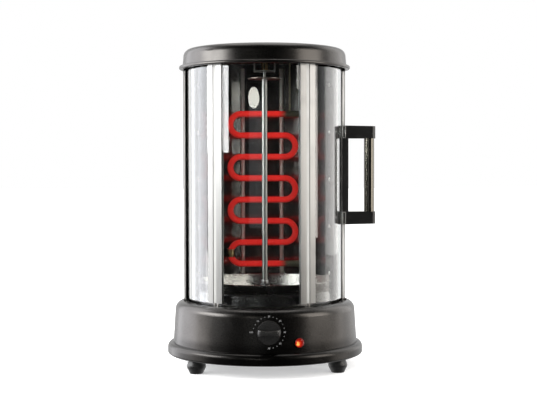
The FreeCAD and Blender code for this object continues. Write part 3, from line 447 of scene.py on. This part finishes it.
lampLook = {
    "dark": (0.09, 0.002, 0.001),
    "red": (0.52, 0.02, 0.004),
    "flame": (1.4, 0.75, 0.16),
    "lensDark": (0.05, 0.001, 0.001),
    "lensLight": (0.09, 0.002, 0.002),
    "spot": (-0.0016, -0.0012),
    "flameInner": 0.00105,
    "flameOuter": 0.00315,
    "redInner": 0.00294,
    "redOuter": 0.00714,
    "ripple": 0.0012,
    "fine": 500.0,
    "coarse": 420.0,
    "rough": 0.1,
}


def makeLamp():
    # Red lens, lit from the bulb behind its lower left
    look = lampLook
    material, tree, shader = newMaterial("lampLens")
    low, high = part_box("lamp_lens")
    middle = (low + high) / 2
    gap = addNode(tree, "ShaderNodeVectorMath", {"operation": "DISTANCE"})
    tree.links.new(objectPlace(tree), gap.inputs[0])
    gap.inputs[1].default_value = (middle.x + look["spot"][0], low.y, middle.z + look["spot"][1])
    surface = useGroup(tree, grainGroup, Fine=look["fine"], Coarse=look["coarse"])
    ripple = spread(tree, surface["Mottle"], -look["ripple"], look["ripple"])
    reach = mathNode(tree, "ADD", gap.outputs["Value"], ripple)
    near = spread(tree, reach, 1.0, 0.0, look["flameInner"], look["flameOuter"])
    far = spread(tree, reach, 0.0, 1.0, look["redInner"], look["redOuter"])
    tree.links.new(tones(tree, surface["Mottle"], look["lensDark"], look["lensLight"]),
                   shader.inputs["Base Color"])
    lens = mixTones(tree, far, look["red"], look["dark"])
    tree.links.new(mixTones(tree, near, lens, look["flame"]), shader.inputs["Emission Color"])
    setShader(shader, Roughness=look["rough"], Emission_Strength=1.0)
    return material


reflectorLook = {
    "clean": ((0.12, 0.118, 0.114), (0.18, 0.177, 0.17)),
    "smoked": (0.1, 0.088, 0.075),
    "rough": (0.12, 0.22),
    "stretch": (300.0, 300.0, 5.0),
    "spread": 18.0,
    "bump": 0.12,
}


def makeReflector():
    # Polished sheet behind the heater, smoked by use and a little wavy along its height
    look = reflectorLook
    material, tree, shader = newMaterial("reflectorSheet")
    setShader(shader, Metallic=1.0)
    marks = useGroup(tree, brushGroup, Stretch=look["stretch"])
    film = useGroup(tree, handledGroup, Spread=look["spread"])
    metal = tones(tree, marks["Streak"], *look["clean"])
    tree.links.new(mixTones(tree, film["Smudge"], metal, look["smoked"]),
                   shader.inputs["Base Color"])
    tree.links.new(spread(tree, marks["Smear"], *look["rough"]), shader.inputs["Roughness"])
    addBump(tree, shader, marks["Streak"], look["bump"])
    return material


sleeveLook = {
    "dark": (0.1, 0.095, 0.06),
    "light": (0.3, 0.28, 0.2),
    "weave": 420.0,
    "twist": 1.5,
    "rough": 0.8,
    "bump": 0.5,
}


def makeSleeve():
    # Braided fibre sleeve
    look = sleeveLook
    material, tree, shader = newMaterial("fibreSleeve")
    weave = addNode(tree, "ShaderNodeTexWave", {"bands_direction": "DIAGONAL"},
                    Vector=objectPlace(tree), Scale=look["weave"], Distortion=look["twist"])
    tree.links.new(tones(tree, weave.outputs["Fac"], look["dark"], look["light"]),
                   shader.inputs["Base Color"])
    setShader(shader, Roughness=look["rough"])
    addBump(tree, shader, weave.outputs["Fac"], look["bump"])
    return material


materials = {name: paintMaterial(name, **look) for name, look in paintLooks.items()}
materials.update({name: brushedMaterial(name, **look) for name, look in metalLooks.items()})
materials["doorGlass"] = makeGlass()
materials["heaterSheath"] = makeHeater()
materials["lampLens"] = makeLamp()
materials["reflectorSheet"] = makeReflector()
materials["fibreSleeve"] = makeSleeve()

skirtShadeLook = {"top": 0.05, "fade": 0.008, "share": 0.55}


def shadeSkirt(material):
    # The enamel is painted darker on the base's rolled skirt: painted shade low on the base
    look = skirtShadeLook
    tree = material.node_tree
    shader = tree.nodes["Principled BSDF"]
    enamel = shader.inputs["Base Color"].links[0].from_socket
    height = splitVector(tree, objectPlace(tree))["Z"]
    low = spread(tree, height, 0.0, 1.0, look["top"], look["top"] - look["fade"])
    # A darker copy of the enamel below the skirt's top, as painted shade
    shadedEnamel = addNode(tree, "ShaderNodeHueSaturation", Color=enamel, Value=look["share"])
    tree.links.new(mixTones(tree, low, enamel, shadedEnamel.outputs[0]), shader.inputs["Base Color"])


trayLook = {
    "turn": 0.66,
    "middle": 0.034,
    "edge": 0.068,
    "steep": 40.0,
    "level": 0.022,
    "rise": 0.3,
    "upward": 0.3,
}


def shapeTray(material):
    # The tray's floor and wall catch the light as a deeper bowl's would
    look = trayLook
    tree = material.node_tree
    brushed = next(node for node in tree.nodes if node.type == "BUMP")
    here = tree.nodes.new("ShaderNodeTexCoord")
    place = splitVector(tree, here.outputs["Object"])
    sideways = mathNode(tree, "SUBTRACT", place["X"], axis.x)
    deep = mathNode(tree, "SUBTRACT", place["Y"], axis.y)
    leans = []
    for offset, flat, share in ((sideways, look["middle"], look["turn"]),
                                (deep, look["level"], 1.0)):
        squared = mathNode(tree, "MULTIPLY", offset, offset)
        far = mathNode(tree, "SQRT", mathNode(tree, "ADD", squared, flat ** 2))
        lean = mathNode(tree, "DIVIDE", offset, far)
        leans.append(mathNode(tree, "MULTIPLY", lean, -share))
    # Near the right edge the wall turns away faster
    beyond = mathNode(tree, "MAXIMUM", mathNode(tree, "SUBTRACT", sideways, look["edge"]), 0.0)
    steeper = mathNode(tree, "MULTIPLY", beyond, look["steep"])
    leans[0] = mathNode(tree, "SUBTRACT", leans[0], steeper)
    wall = addNode(tree, "ShaderNodeCombineXYZ", X=leans[0], Y=leans[1], Z=look["rise"])
    facing = splitVector(tree, here.outputs["Normal"])
    level = mathNode(tree, "GREATER_THAN", facing["Z"], look["upward"])
    bowl = addNode(tree, "ShaderNodeMix", {"data_type": "VECTOR"})
    tree.links.new(level, bowl.inputs[0])
    tree.links.new(here.outputs["Normal"], bowl.inputs[4])  # 4 and 5 are its two vectors
    tree.links.new(wall.outputs[0], bowl.inputs[5])
    even = addNode(tree, "ShaderNodeVectorMath", {"operation": "NORMALIZE"})
    tree.links.new(bowl.outputs[1], even.inputs[0])
    tree.links.new(even.outputs[0], brushed.inputs["Normal"])


shadeSkirt(materials["darkEnamel"])
shapeTray(materials["traySteel"])

finishes = {
    "darkEnamel": ["base_housing", "lid"],
    "blackEnamel": ["chamber_floor", "ceiling_plate"],
    "footPlastic": ["feet"],
    "handlePlastic": ["handle_bracket"],
    "knobPlastic": ["timer_knob", "lamp_bezel"],
    "timerPlastic": ["timer_case"],
    "terminalCeramic": ["heater_terminals"],
    "socketNylon": ["drive_socket", "cable_gland"],
    "zincSteel": ["base_plate", "motor_bracket", "motor", "spit_clip"],
    "screwSteel": ["foot_screws", "handle_screws"],
    "rivetSteel": ["rivets"],
    "housingSteel": ["rear_housing"],
    "barAluminium": ["left_mullion", "right_mullion", "trailing_stile", "closing_stile"],
    "gripSteel": ["handle_grip"],
    "bracketSteel": ["bearing_bracket"],
    "spitSteel": ["spit_rod"],
    "turnedSteel": ["lower_guide_pins", "upper_guide_pins", "drive_shaft", "timer_shaft"],
    "traySteel": ["drip_tray"],
    "discSteel": ["spit_disc"],
    "clipBrass": ["heater_clip", "bearing_bush"],
    "doorGlass": ["left_glass", "front_glass", "right_glass"],
    "heaterSheath": ["heater_element"],
    "lampLens": ["lamp_lens"],
    "reflectorSheet": ["reflector"],
    "fibreSleeve": ["heater_sleeve"],
}

for finish, names in finishes.items():
    for name in names:
        nodes[name].data.materials.clear()
        nodes[name].data.materials.append(materials[finish])
print("materials set")


# Tools for new pieces, which ride on the body that carries them

def selectOnly(*pieces):
    bpy.ops.object.select_all(action="DESELECT")
    for piece in pieces:
        piece.select_set(True)
    bpy.context.view_layer.objects.active = pieces[0]


def addPrimitive(add, **settings):
    # A primitive whose place, turn and size go into its mesh
    bpy.ops.object.select_all(action="DESELECT")
    add(**settings)
    bpy.ops.object.transform_apply(location=True, rotation=True, scale=True)
    return bpy.context.object


def copyPiece(piece):
    # A copy with a mesh of its own
    selectOnly(piece)
    bpy.ops.object.duplicate(linked=False)
    return bpy.context.object


def movePiece(piece, shift):
    selectOnly(piece)
    piece.location = shift
    bpy.ops.object.transform_apply(location=True, rotation=False, scale=False)


def selectParts(piece, kind, test):
    # In edit mode, only the faces or edges that pass the test
    bpy.ops.object.mode_set(mode="EDIT")
    bpy.ops.mesh.select_mode(type=kind)
    bpy.ops.mesh.select_all(action="DESELECT")
    bpy.ops.object.mode_set(mode="OBJECT")
    for part in piece.data.polygons if kind == "FACE" else piece.data.edges:
        part.select = test(part)
    bpy.ops.object.mode_set(mode="EDIT")


def selectAll():
    bpy.ops.object.mode_set(mode="EDIT")
    bpy.ops.mesh.select_all(action="SELECT")


def roundEdges(piece, width, angle):
    rounding = piece.modifiers.new("rounding", "BEVEL")
    rounding.width = width
    rounding.segments = 3
    rounding.angle_limit = math.radians(angle)
    bpy.ops.object.modifier_apply(modifier="rounding")


def smoothPiece(angle=40):
    bpy.ops.object.shade_smooth_by_angle(angle=math.radians(angle))


def joinPieces(pieces):
    selectOnly(*pieces)
    bpy.ops.object.join()
    return bpy.context.object


def finishPiece(piece, name, material, body):
    piece.name = name
    piece.data.materials.clear()
    piece.data.materials.append(material)
    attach(piece, body)


# Upright strips: pale strips on the housing's front edges, a painted reflection along them, and
# grey liners in the door's middle bars

stripLook = {
    "leftHemReflection": {"turn": -94.6, "inner": 0.1163, "outer": 0.1189, "width": 0.0026,
                "round": 0.0012, "node": "rear_housing", "finish": "paleHemReflection", "body": "grill"},
    "rightHemReflection": {"turn": 94.6, "inner": 0.1146, "outer": 0.1189, "width": 0.0026,
                 "round": 0.0012, "node": "rear_housing", "finish": "paleHemReflection", "body": "grill"},
    "leftLiner": {"turn": -40.5, "inner": 0.1109, "outer": 0.1126, "width": 0.0053,
                  "round": 0.0004, "node": "left_mullion", "finish": "linerGrey", "body": "door"},
    "rightLiner": {"turn": 29.9, "inner": 0.1109, "outer": 0.1126, "width": 0.0053,
                   "round": 0.0004, "node": "right_mullion", "finish": "linerGrey", "body": "door"},
}
stripShort = 0.001  # how much shorter a strip is than its node


def makeStrip(name):
    # A bar nearly as tall as the node that it sits in, rounded all over
    look = stripLook[name]
    low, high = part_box(look["node"])
    centre = around(look["turn"], (look["inner"] + look["outer"]) / 2, (low.z + high.z) / 2)
    size = (look["width"], look["outer"] - look["inner"], high.z - low.z - stripShort)
    strip = addPrimitive(bpy.ops.mesh.primitive_cube_add, size=1.0, location=centre,
                         rotation=(0, 0, math.radians(look["turn"])), scale=size)
    selectAll()
    bpy.ops.mesh.bevel(offset=look["round"], segments=5, affect="EDGES")
    bpy.ops.object.mode_set(mode="OBJECT")
    smoothPiece()
    finishPiece(strip, name, materials[look["finish"]], look["body"])


# Half-round beads pressed along the reflector's two inner folds

beadLook = {
    "turn": 163.0,
    "radius": 0.0036,
    "sides": 40,
    "reach": 0.1044,
    "ends": 0.012,
    "round": 0.001,
    "roundOver": 50,
}


def makeBeads():
    # A rod cut down its middle, its edges rounded, mirrored to the other fold
    look = beadLook
    low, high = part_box("reflector")
    middle = around(look["turn"], look["reach"], (low.z + high.z) / 2) - axis
    bead = addPrimitive(bpy.ops.mesh.primitive_cylinder_add, vertices=look["sides"],
                        radius=look["radius"], depth=high.z - low.z - look["ends"],
                        location=middle)
    out = Vector((middle.x, middle.y, 0)).normalized()
    selectAll()
    bpy.ops.mesh.bisect(plane_co=middle, plane_no=out, use_fill=True, clear_outer=True)
    bpy.ops.mesh.select_all(action="SELECT")
    bpy.ops.mesh.normals_make_consistent(inside=False)
    bpy.ops.object.mode_set(mode="OBJECT")
    roundEdges(bead, look["round"], look["roundOver"])
    bead.modifiers.new("otherFold", "MIRROR").use_mirror_merge = False
    bpy.ops.object.modifier_apply(modifier="otherFold")
    movePiece(bead, axis)
    smoothPiece()
    finishPiece(bead, "foldBeads", materials["beadHighlightSteel"], "grill")


# Timer knob: a domed cap with a finger hollow above and below its bar

knobLook = {
    "profile": ((0.985, 0.25), (0.965, 0.45), (0.92, 0.6), (0.83, 0.73), (0.7, 0.84),
                (0.54, 0.92), (0.36, 0.97), (0.18, 0.995)),  # width and height, rim to crown
    "steps": 96,
    "waist": 0.0023,
    "hollowRadius": 0.052,
    "hollowSteps": 220,
    "hollowFloor": 0.3,
    "hollowDepth": 0.03,
    "edge": 0.0006,
    "edgeOver": 40,
    "weld": 0.00004,
    "sameHeight": 0.000001,
    "smoothUnder": 35,
}
layDown = (math.radians(90), 0, 0)  # turns an upright primitive to face the front


def makeHollowCutter(knobCentre, floor, up):
    # A disc whose edge scoops one side of the bar
    look = knobLook
    reach = look["waist"] + look["hollowRadius"]
    shift = Vector((0, floor - look["hollowDepth"] / 2, up * reach))
    return addPrimitive(bpy.ops.mesh.primitive_cylinder_add, vertices=look["hollowSteps"],
                        radius=look["hollowRadius"], depth=look["hollowDepth"],
                        location=knobCentre + shift, rotation=layDown)


def makeKnob():
    look = knobLook
    low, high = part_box("timer_knob")
    centre = (low + high) / 2
    radius, depth = (high.x - low.x) / 2, high.y - low.y
    knob = addPrimitive(bpy.ops.mesh.primitive_circle_add, vertices=look["steps"], radius=radius,
                        fill_type="NOTHING", location=(centre.x, high.y, centre.z),
                        rotation=layDown)
    # The rim is drawn out ring by ring to the crown, and then its back is closed
    selectAll()
    share, height = 1.0, 0.0
    for nextShare, nextHeight in look["profile"]:
        step = {"value": (0, -(nextHeight - height) * depth, 0)}
        bpy.ops.mesh.extrude_edges_move(TRANSFORM_OT_translate=step)
        bpy.ops.transform.resize(value=(nextShare / share, 1, nextShare / share),
                                 center_override=(centre.x, high.y - nextHeight * depth, centre.z))
        share, height = nextShare, nextHeight
    step = {"value": (0, -(1.0 - height) * depth, 0)}
    bpy.ops.mesh.extrude_edges_move(TRANSFORM_OT_translate=step)
    bpy.ops.mesh.merge(type="CENTER")

    def onRim(edge):
        ends = [knob.data.vertices[end].co.y for end in edge.vertices]
        return all(abs(end - high.y) < look["sameHeight"] for end in ends)

    selectParts(knob, "EDGE", onRim)
    bpy.ops.mesh.edge_face_add()
    bpy.ops.mesh.select_all(action="SELECT")
    bpy.ops.mesh.normals_make_consistent(inside=False)
    bpy.ops.object.mode_set(mode="OBJECT")
    middle = Vector((centre.x, 0, centre.z))
    floor = high.y - look["hollowFloor"] * depth
    cutters = [makeHollowCutter(middle, floor, up) for up in (1, -1)]
    selectOnly(knob)
    for cutter in cutters:
        scoop = knob.modifiers.new("scoop", "BOOLEAN")
        scoop.operation = "DIFFERENCE"
        scoop.object = cutter
        bpy.ops.object.modifier_apply(modifier="scoop")
        bpy.data.objects.remove(cutter)
    selectAll()
    bpy.ops.mesh.remove_doubles(threshold=look["weld"])
    bpy.ops.object.mode_set(mode="OBJECT")
    roundEdges(knob, look["edge"], look["edgeOver"])
    smoothPiece(look["smoothUnder"])
    finishPiece(knob, "knobCap", materials["knobPlastic"], "timer")
    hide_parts("timer_knob")


# Sprung steel clips where the handle's arms leave the door's end bar

clipLook = {
    "heights": {"upperClip": 0.3405, "lowerClip": 0.2145},
    "reach": 0.1158,
    "front": -0.0078,
    "width": 0.0052,
    "tall": 0.0185,
    "depth": 0.0016,
    "wall": 0.0013,
    "round": 0.0005,
    "roundOver": 30,
    "facing": 0.9,
}


def makeClips():
    # An upright ring: a block whose front and back are inset, opened and bridged
    look = clipLook
    model = addPrimitive(bpy.ops.mesh.primitive_cube_add, size=1.0,
                         location=axis + Vector((look["reach"], look["front"], 0)),
                         scale=(look["width"], look["depth"], look["tall"]))
    selectParts(model, "FACE", lambda face: abs(face.normal.y) > look["facing"])
    bpy.ops.mesh.inset(thickness=look["wall"], depth=0.0)
    bpy.ops.mesh.bridge_edge_loops()
    bpy.ops.object.mode_set(mode="OBJECT")
    roundEdges(model, look["round"], look["roundOver"])
    smoothPiece()
    for name, height in look["heights"].items():
        clip = copyPiece(model)
        movePiece(clip, (0, 0, height))
        finishPiece(clip, name, materials["clipSteel"], "door")
    bpy.data.objects.remove(model)


# Timer dial: numbers, OFF and dots on the sloping wall round the knob

dialLook = {
    "marks": ("OFF", "10", "20", "30", "40", "50", "60"),
    "markRadius": 0.0215,
    "offRadius": 0.0241,
    "numberSize": 0.0034,
    "offSize": 0.0029,
    "dotRadius": 0.00052,
    "dotSides": 12,
    "dots": 18,
    "dotStep": 15.0,
    "dotsPerMark": 3,
    "film": 0.00004,
    "lift": 0.0001,
    "footRadius": 0.1342,
    "headRadius": 0.1304,
    "wallFoot": 0.036,
    "wallHead": 0.0955,
}
knobLow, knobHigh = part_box("timer_knob")
dialCentre = Vector((0, 0, (knobLow.z + knobHigh.z) / 2))  # from the axis


def onWall(place):
    # The point of the base's sloping wall in front of a place given from the axis
    look = dialLook
    lean = (look["footRadius"] - look["headRadius"]) / (look["wallHead"] - look["wallFoot"])
    radius = look["footRadius"] - (place.z - look["wallFoot"]) * lean + look["lift"]
    return axis + Vector((place.x, -math.sqrt(radius * radius - place.x * place.x), place.z))


def layOnWall(piece, clock, radius):
    # A flat piece laid round the knob, at an angle clockwise from nine o'clock, upright
    turn = math.radians(clock)
    centre = dialCentre + Vector((-radius * math.cos(turn), 0, radius * math.sin(turn)))
    for vertex in piece.data.vertices:
        vertex.co = onWall(centre + Vector((vertex.co.x, 0, vertex.co.y)))
    return piece


def printMark(words, clock):
    look = dialLook
    bpy.ops.object.select_all(action="DESELECT")
    bpy.ops.object.text_add()
    mark = bpy.context.object
    mark.data.body = words
    mark.data.size = look["offSize"] if words == "OFF" else look["numberSize"]
    mark.data.align_x = "CENTER"
    mark.data.align_y = "CENTER"
    bpy.ops.object.convert(target="MESH")
    radius = look["offRadius"] if words == "OFF" else look["markRadius"]
    return layOnWall(bpy.context.object, clock, radius)


def printFilm(pieces, name):
    # Print as one closed film of ink
    ink = joinPieces(pieces)
    film = ink.modifiers.new("film", "SOLIDIFY")
    film.thickness = dialLook["film"]
    film.offset = 0.0
    bpy.ops.object.modifier_apply(modifier="film")
    finishPiece(ink, name, materials["dialPrint"], "grill")


def makeDial():
    look = dialLook
    markStep = look["dotsPerMark"] * look["dotStep"]
    printFilm([printMark(words, place * markStep) for place, words in enumerate(look["marks"])],
              "dialNumbers")
    model = addPrimitive(bpy.ops.mesh.primitive_circle_add, vertices=look["dotSides"],
                         radius=look["dotRadius"], fill_type="NGON")
    places = [place for place in range(look["dots"]) if place % look["dotsPerMark"]]
    printFilm([layOnWall(copyPiece(model), place * look["dotStep"], look["markRadius"])
               for place in places], "dialDots")
    bpy.data.objects.remove(model)


for stripName in stripLook:
    makeStrip(stripName)
print("strips made")
makeBeads()
print("beads made")
makeKnob()
print("knob made")
makeClips()
print("clips made")
makeDial()
print("dial printed")


# Floor, backdrop, light and camera

stageLook = {
    "floorSize": 30.0,
    "floorTones": ((0.88, 0.88, 0.88), (0.9, 0.9, 0.9)),
    "floorRough": 0.9,
    "floorFine": 60.0,
    "floorCoarse": 2.0,
    "backdrop": (1.0, 1.0, 1.0),
    "roomFront": 0.02,
    "roomBack": 0.95,
    "frontEdge": -0.3,
    "backEdge": 0.35,
    "ambient": 1.3,
    "paperGlow": 0.3,
}


def makeFloor():
    look = stageLook
    bpy.ops.mesh.primitive_plane_add(size=look["floorSize"])
    floor = bpy.context.object
    floor.name = "floor"
    material, tree, shader = newMaterial("floorPaper")
    surface = useGroup(tree, grainGroup, Fine=look["floorFine"], Coarse=look["floorCoarse"])
    tree.links.new(tones(tree, surface["Mottle"], *look["floorTones"]),
                   shader.inputs["Base Color"])
    setShader(shader, Roughness=look["floorRough"], Specular_IOR_Level=0.0,
              Emission_Color=(1, 1, 1, 1), Emission_Strength=look["paperGlow"])
    floor.data.materials.append(material)
    floor.visible_glossy = False  # gloss sees the dark room, and boxes that reach below the floor
    floor.visible_transmission = False
    floor.visible_shadow = False


def makeWorld():
    # White paper to the camera; gloss sees a dark room in front and white paper behind
    look = stageLook
    world = bpy.data.worlds.new("studio")
    bpy.context.scene.world = world
    world.use_nodes = True
    tree = world.node_tree
    background = tree.nodes["Background"]
    rays = tree.nodes.new("ShaderNodeLightPath")
    way = splitVector(tree, tree.nodes.new("ShaderNodeTexCoord").outputs["Generated"])
    room = addNode(tree, "ShaderNodeMapRange", {"interpolation_type": "SMOOTHSTEP"},
                   Value=way["Y"], From_Min=look["frontEdge"], From_Max=look["backEdge"],
                   To_Min=look["roomFront"], To_Max=look["roomBack"]).outputs[0]
    seen = mathNode(tree, "MAXIMUM", rays.outputs["Is Camera Ray"], room)
    filled = mathNode(tree, "MULTIPLY", rays.outputs["Is Diffuse Ray"], look["ambient"])
    tree.links.new(mathNode(tree, "MAXIMUM", seen, filled), background.inputs["Strength"])
    background.inputs["Color"].default_value = (*look["backdrop"], 1)


# Each soft box faces the grill: where it stands round it, its height, width and brightness
lights = {
    "leftBox": {"turn": -75.0, "low": 0.33, "high": 1.05, "width": 1.12, "bright": 10.5,
                "tone": (1, 1, 1)},
    "leftBackBox": {"turn": -106.0, "low": -0.2, "high": 1.9, "width": 0.65, "bright": 4.0,
                    "tone": (0.95, 0.95, 1)},
    "leftFarBox": {"turn": -129.0, "low": -0.3, "high": 1.9, "width": 0.65, "bright": 2.5,
                   "tone": (0.96, 0.96, 1)},
    "leftPaper": {"turn": -86.0, "low": -0.2, "high": 0.06, "width": 0.7, "bright": 3.0,
                  "tone": (1, 0.97, 0.95)},
    "rightBox": {"turn": 62.5, "low": 0.5, "high": 1.15, "width": 1.0, "bright": 3.8,
                 "tone": (1, 0.95, 0.89)},
    "rightLowBox": {"turn": 65.5, "low": 0.1, "high": 0.5, "width": 0.87, "bright": 4.9,
                    "tone": (1, 0.95, 0.89)},
    "rightPaper": {"turn": 92.0, "low": -0.3, "high": 0.0, "width": 0.85, "bright": 1.4,
                   "tone": (1, 0.92, 0.84)},
    "rightBackBox": {"turn": 118.0, "low": 0.05, "high": 1.9, "width": 1.2, "bright": 1.3,
                     "tone": (1, 0.97, 0.94)},
    "rightBackPaper": {"turn": 118.0, "low": -0.14, "high": 0.05, "width": 1.2, "bright": 0.6,
                       "tone": (1, 0.95, 0.9)},
    "highPanel": {"turn": -18.0, "reach": 2.2, "low": 0.474, "high": 0.54, "width": 0.62,
                  "bright": 7.0, "tone": (1, 0.98, 0.88), "shape": "ELLIPSE"},
    "frontPanel": {"turn": -14.0, "reach": 2.2, "low": 0.1, "high": 0.5, "width": 0.85,
                   "bright": 0.35, "tone": (0.9, 0.95, 1)},
}
lightReach = 1.6
topBox = {"place": (0, 0.3, 2.2), "way": (0, -0.1, -1), "size": 1.6, "bright": 1.7}


def addBox(name, place, way, size, bright, tone, shape="RECTANGLE"):
    # A box of this brightness takes brightness times pi times its area in watts
    bpy.ops.object.light_add(type="AREA", location=place)
    lamp = bpy.context.object
    lamp.name = name
    lamp.data.shape = shape
    lamp.data.size, lamp.data.size_y = size
    lamp.data.energy = bright * math.pi * size[0] * size[1]
    lamp.data.color = tone
    lamp.rotation_euler = way.to_track_quat("-Z", "Y").to_euler()
    lamp.visible_camera = False


def makeLights():
    for name, look in lights.items():
        height = (look["low"] + look["high"]) / 2
        place = around(look["turn"], look.get("reach", lightReach), height)
        way = around(look["turn"], 0.0, place.z) - place
        addBox(name, place, way, (look["width"], look["high"] - look["low"]), look["bright"],
               look["tone"], look.get("shape", "RECTANGLE"))
    addBox("topBox", topBox["place"], Vector(topBox["way"]), (topBox["size"], topBox["size"]),
           topBox["bright"], (1, 1, 1))


cameraLook = {
    "distance": 1.75,
    "azimuth": -2.3,
    "height": 0.288,
    "focalPixels": 1195.0,
    "imageWidth": 537.0,
    "imageHeight": 410.0,
    "axisPixel": 264.8,
    "horizonPixel": 168.0,
    "roll": -0.12,
    "sensor": 36.0,
}


def makeCamera():
    # The photograph's view: the upright axis and the horizon fall on their pixels
    look = cameraLook
    place = around(look["azimuth"], look["distance"], look["height"])
    bpy.ops.object.camera_add(location=place)
    camera = bpy.context.object
    camera.data.sensor_width = look["sensor"]
    camera.data.lens = look["focalPixels"] / look["imageWidth"] * look["sensor"]
    across = math.atan((look["imageWidth"] / 2 - look["axisPixel"]) / look["focalPixels"])
    down = math.atan((look["imageHeight"] / 2 - look["horizonPixel"]) / look["focalPixels"])
    turn = Matrix.Rotation(math.radians(look["azimuth"]) - across, 4, "Z")
    tilt = Matrix.Rotation(math.radians(90) - down, 4, "X")
    roll = Matrix.Rotation(math.radians(look["roll"]), 4, "Z")
    camera.matrix_world = Matrix.Translation(place) @ turn @ tilt @ roll
    bpy.context.scene.camera = camera


makeFloor()
bpy.context.scene.view_settings.view_transform = "Standard"  # plain white paper
makeWorld()
makeLights()
makeCamera()
print("stage and camera set")
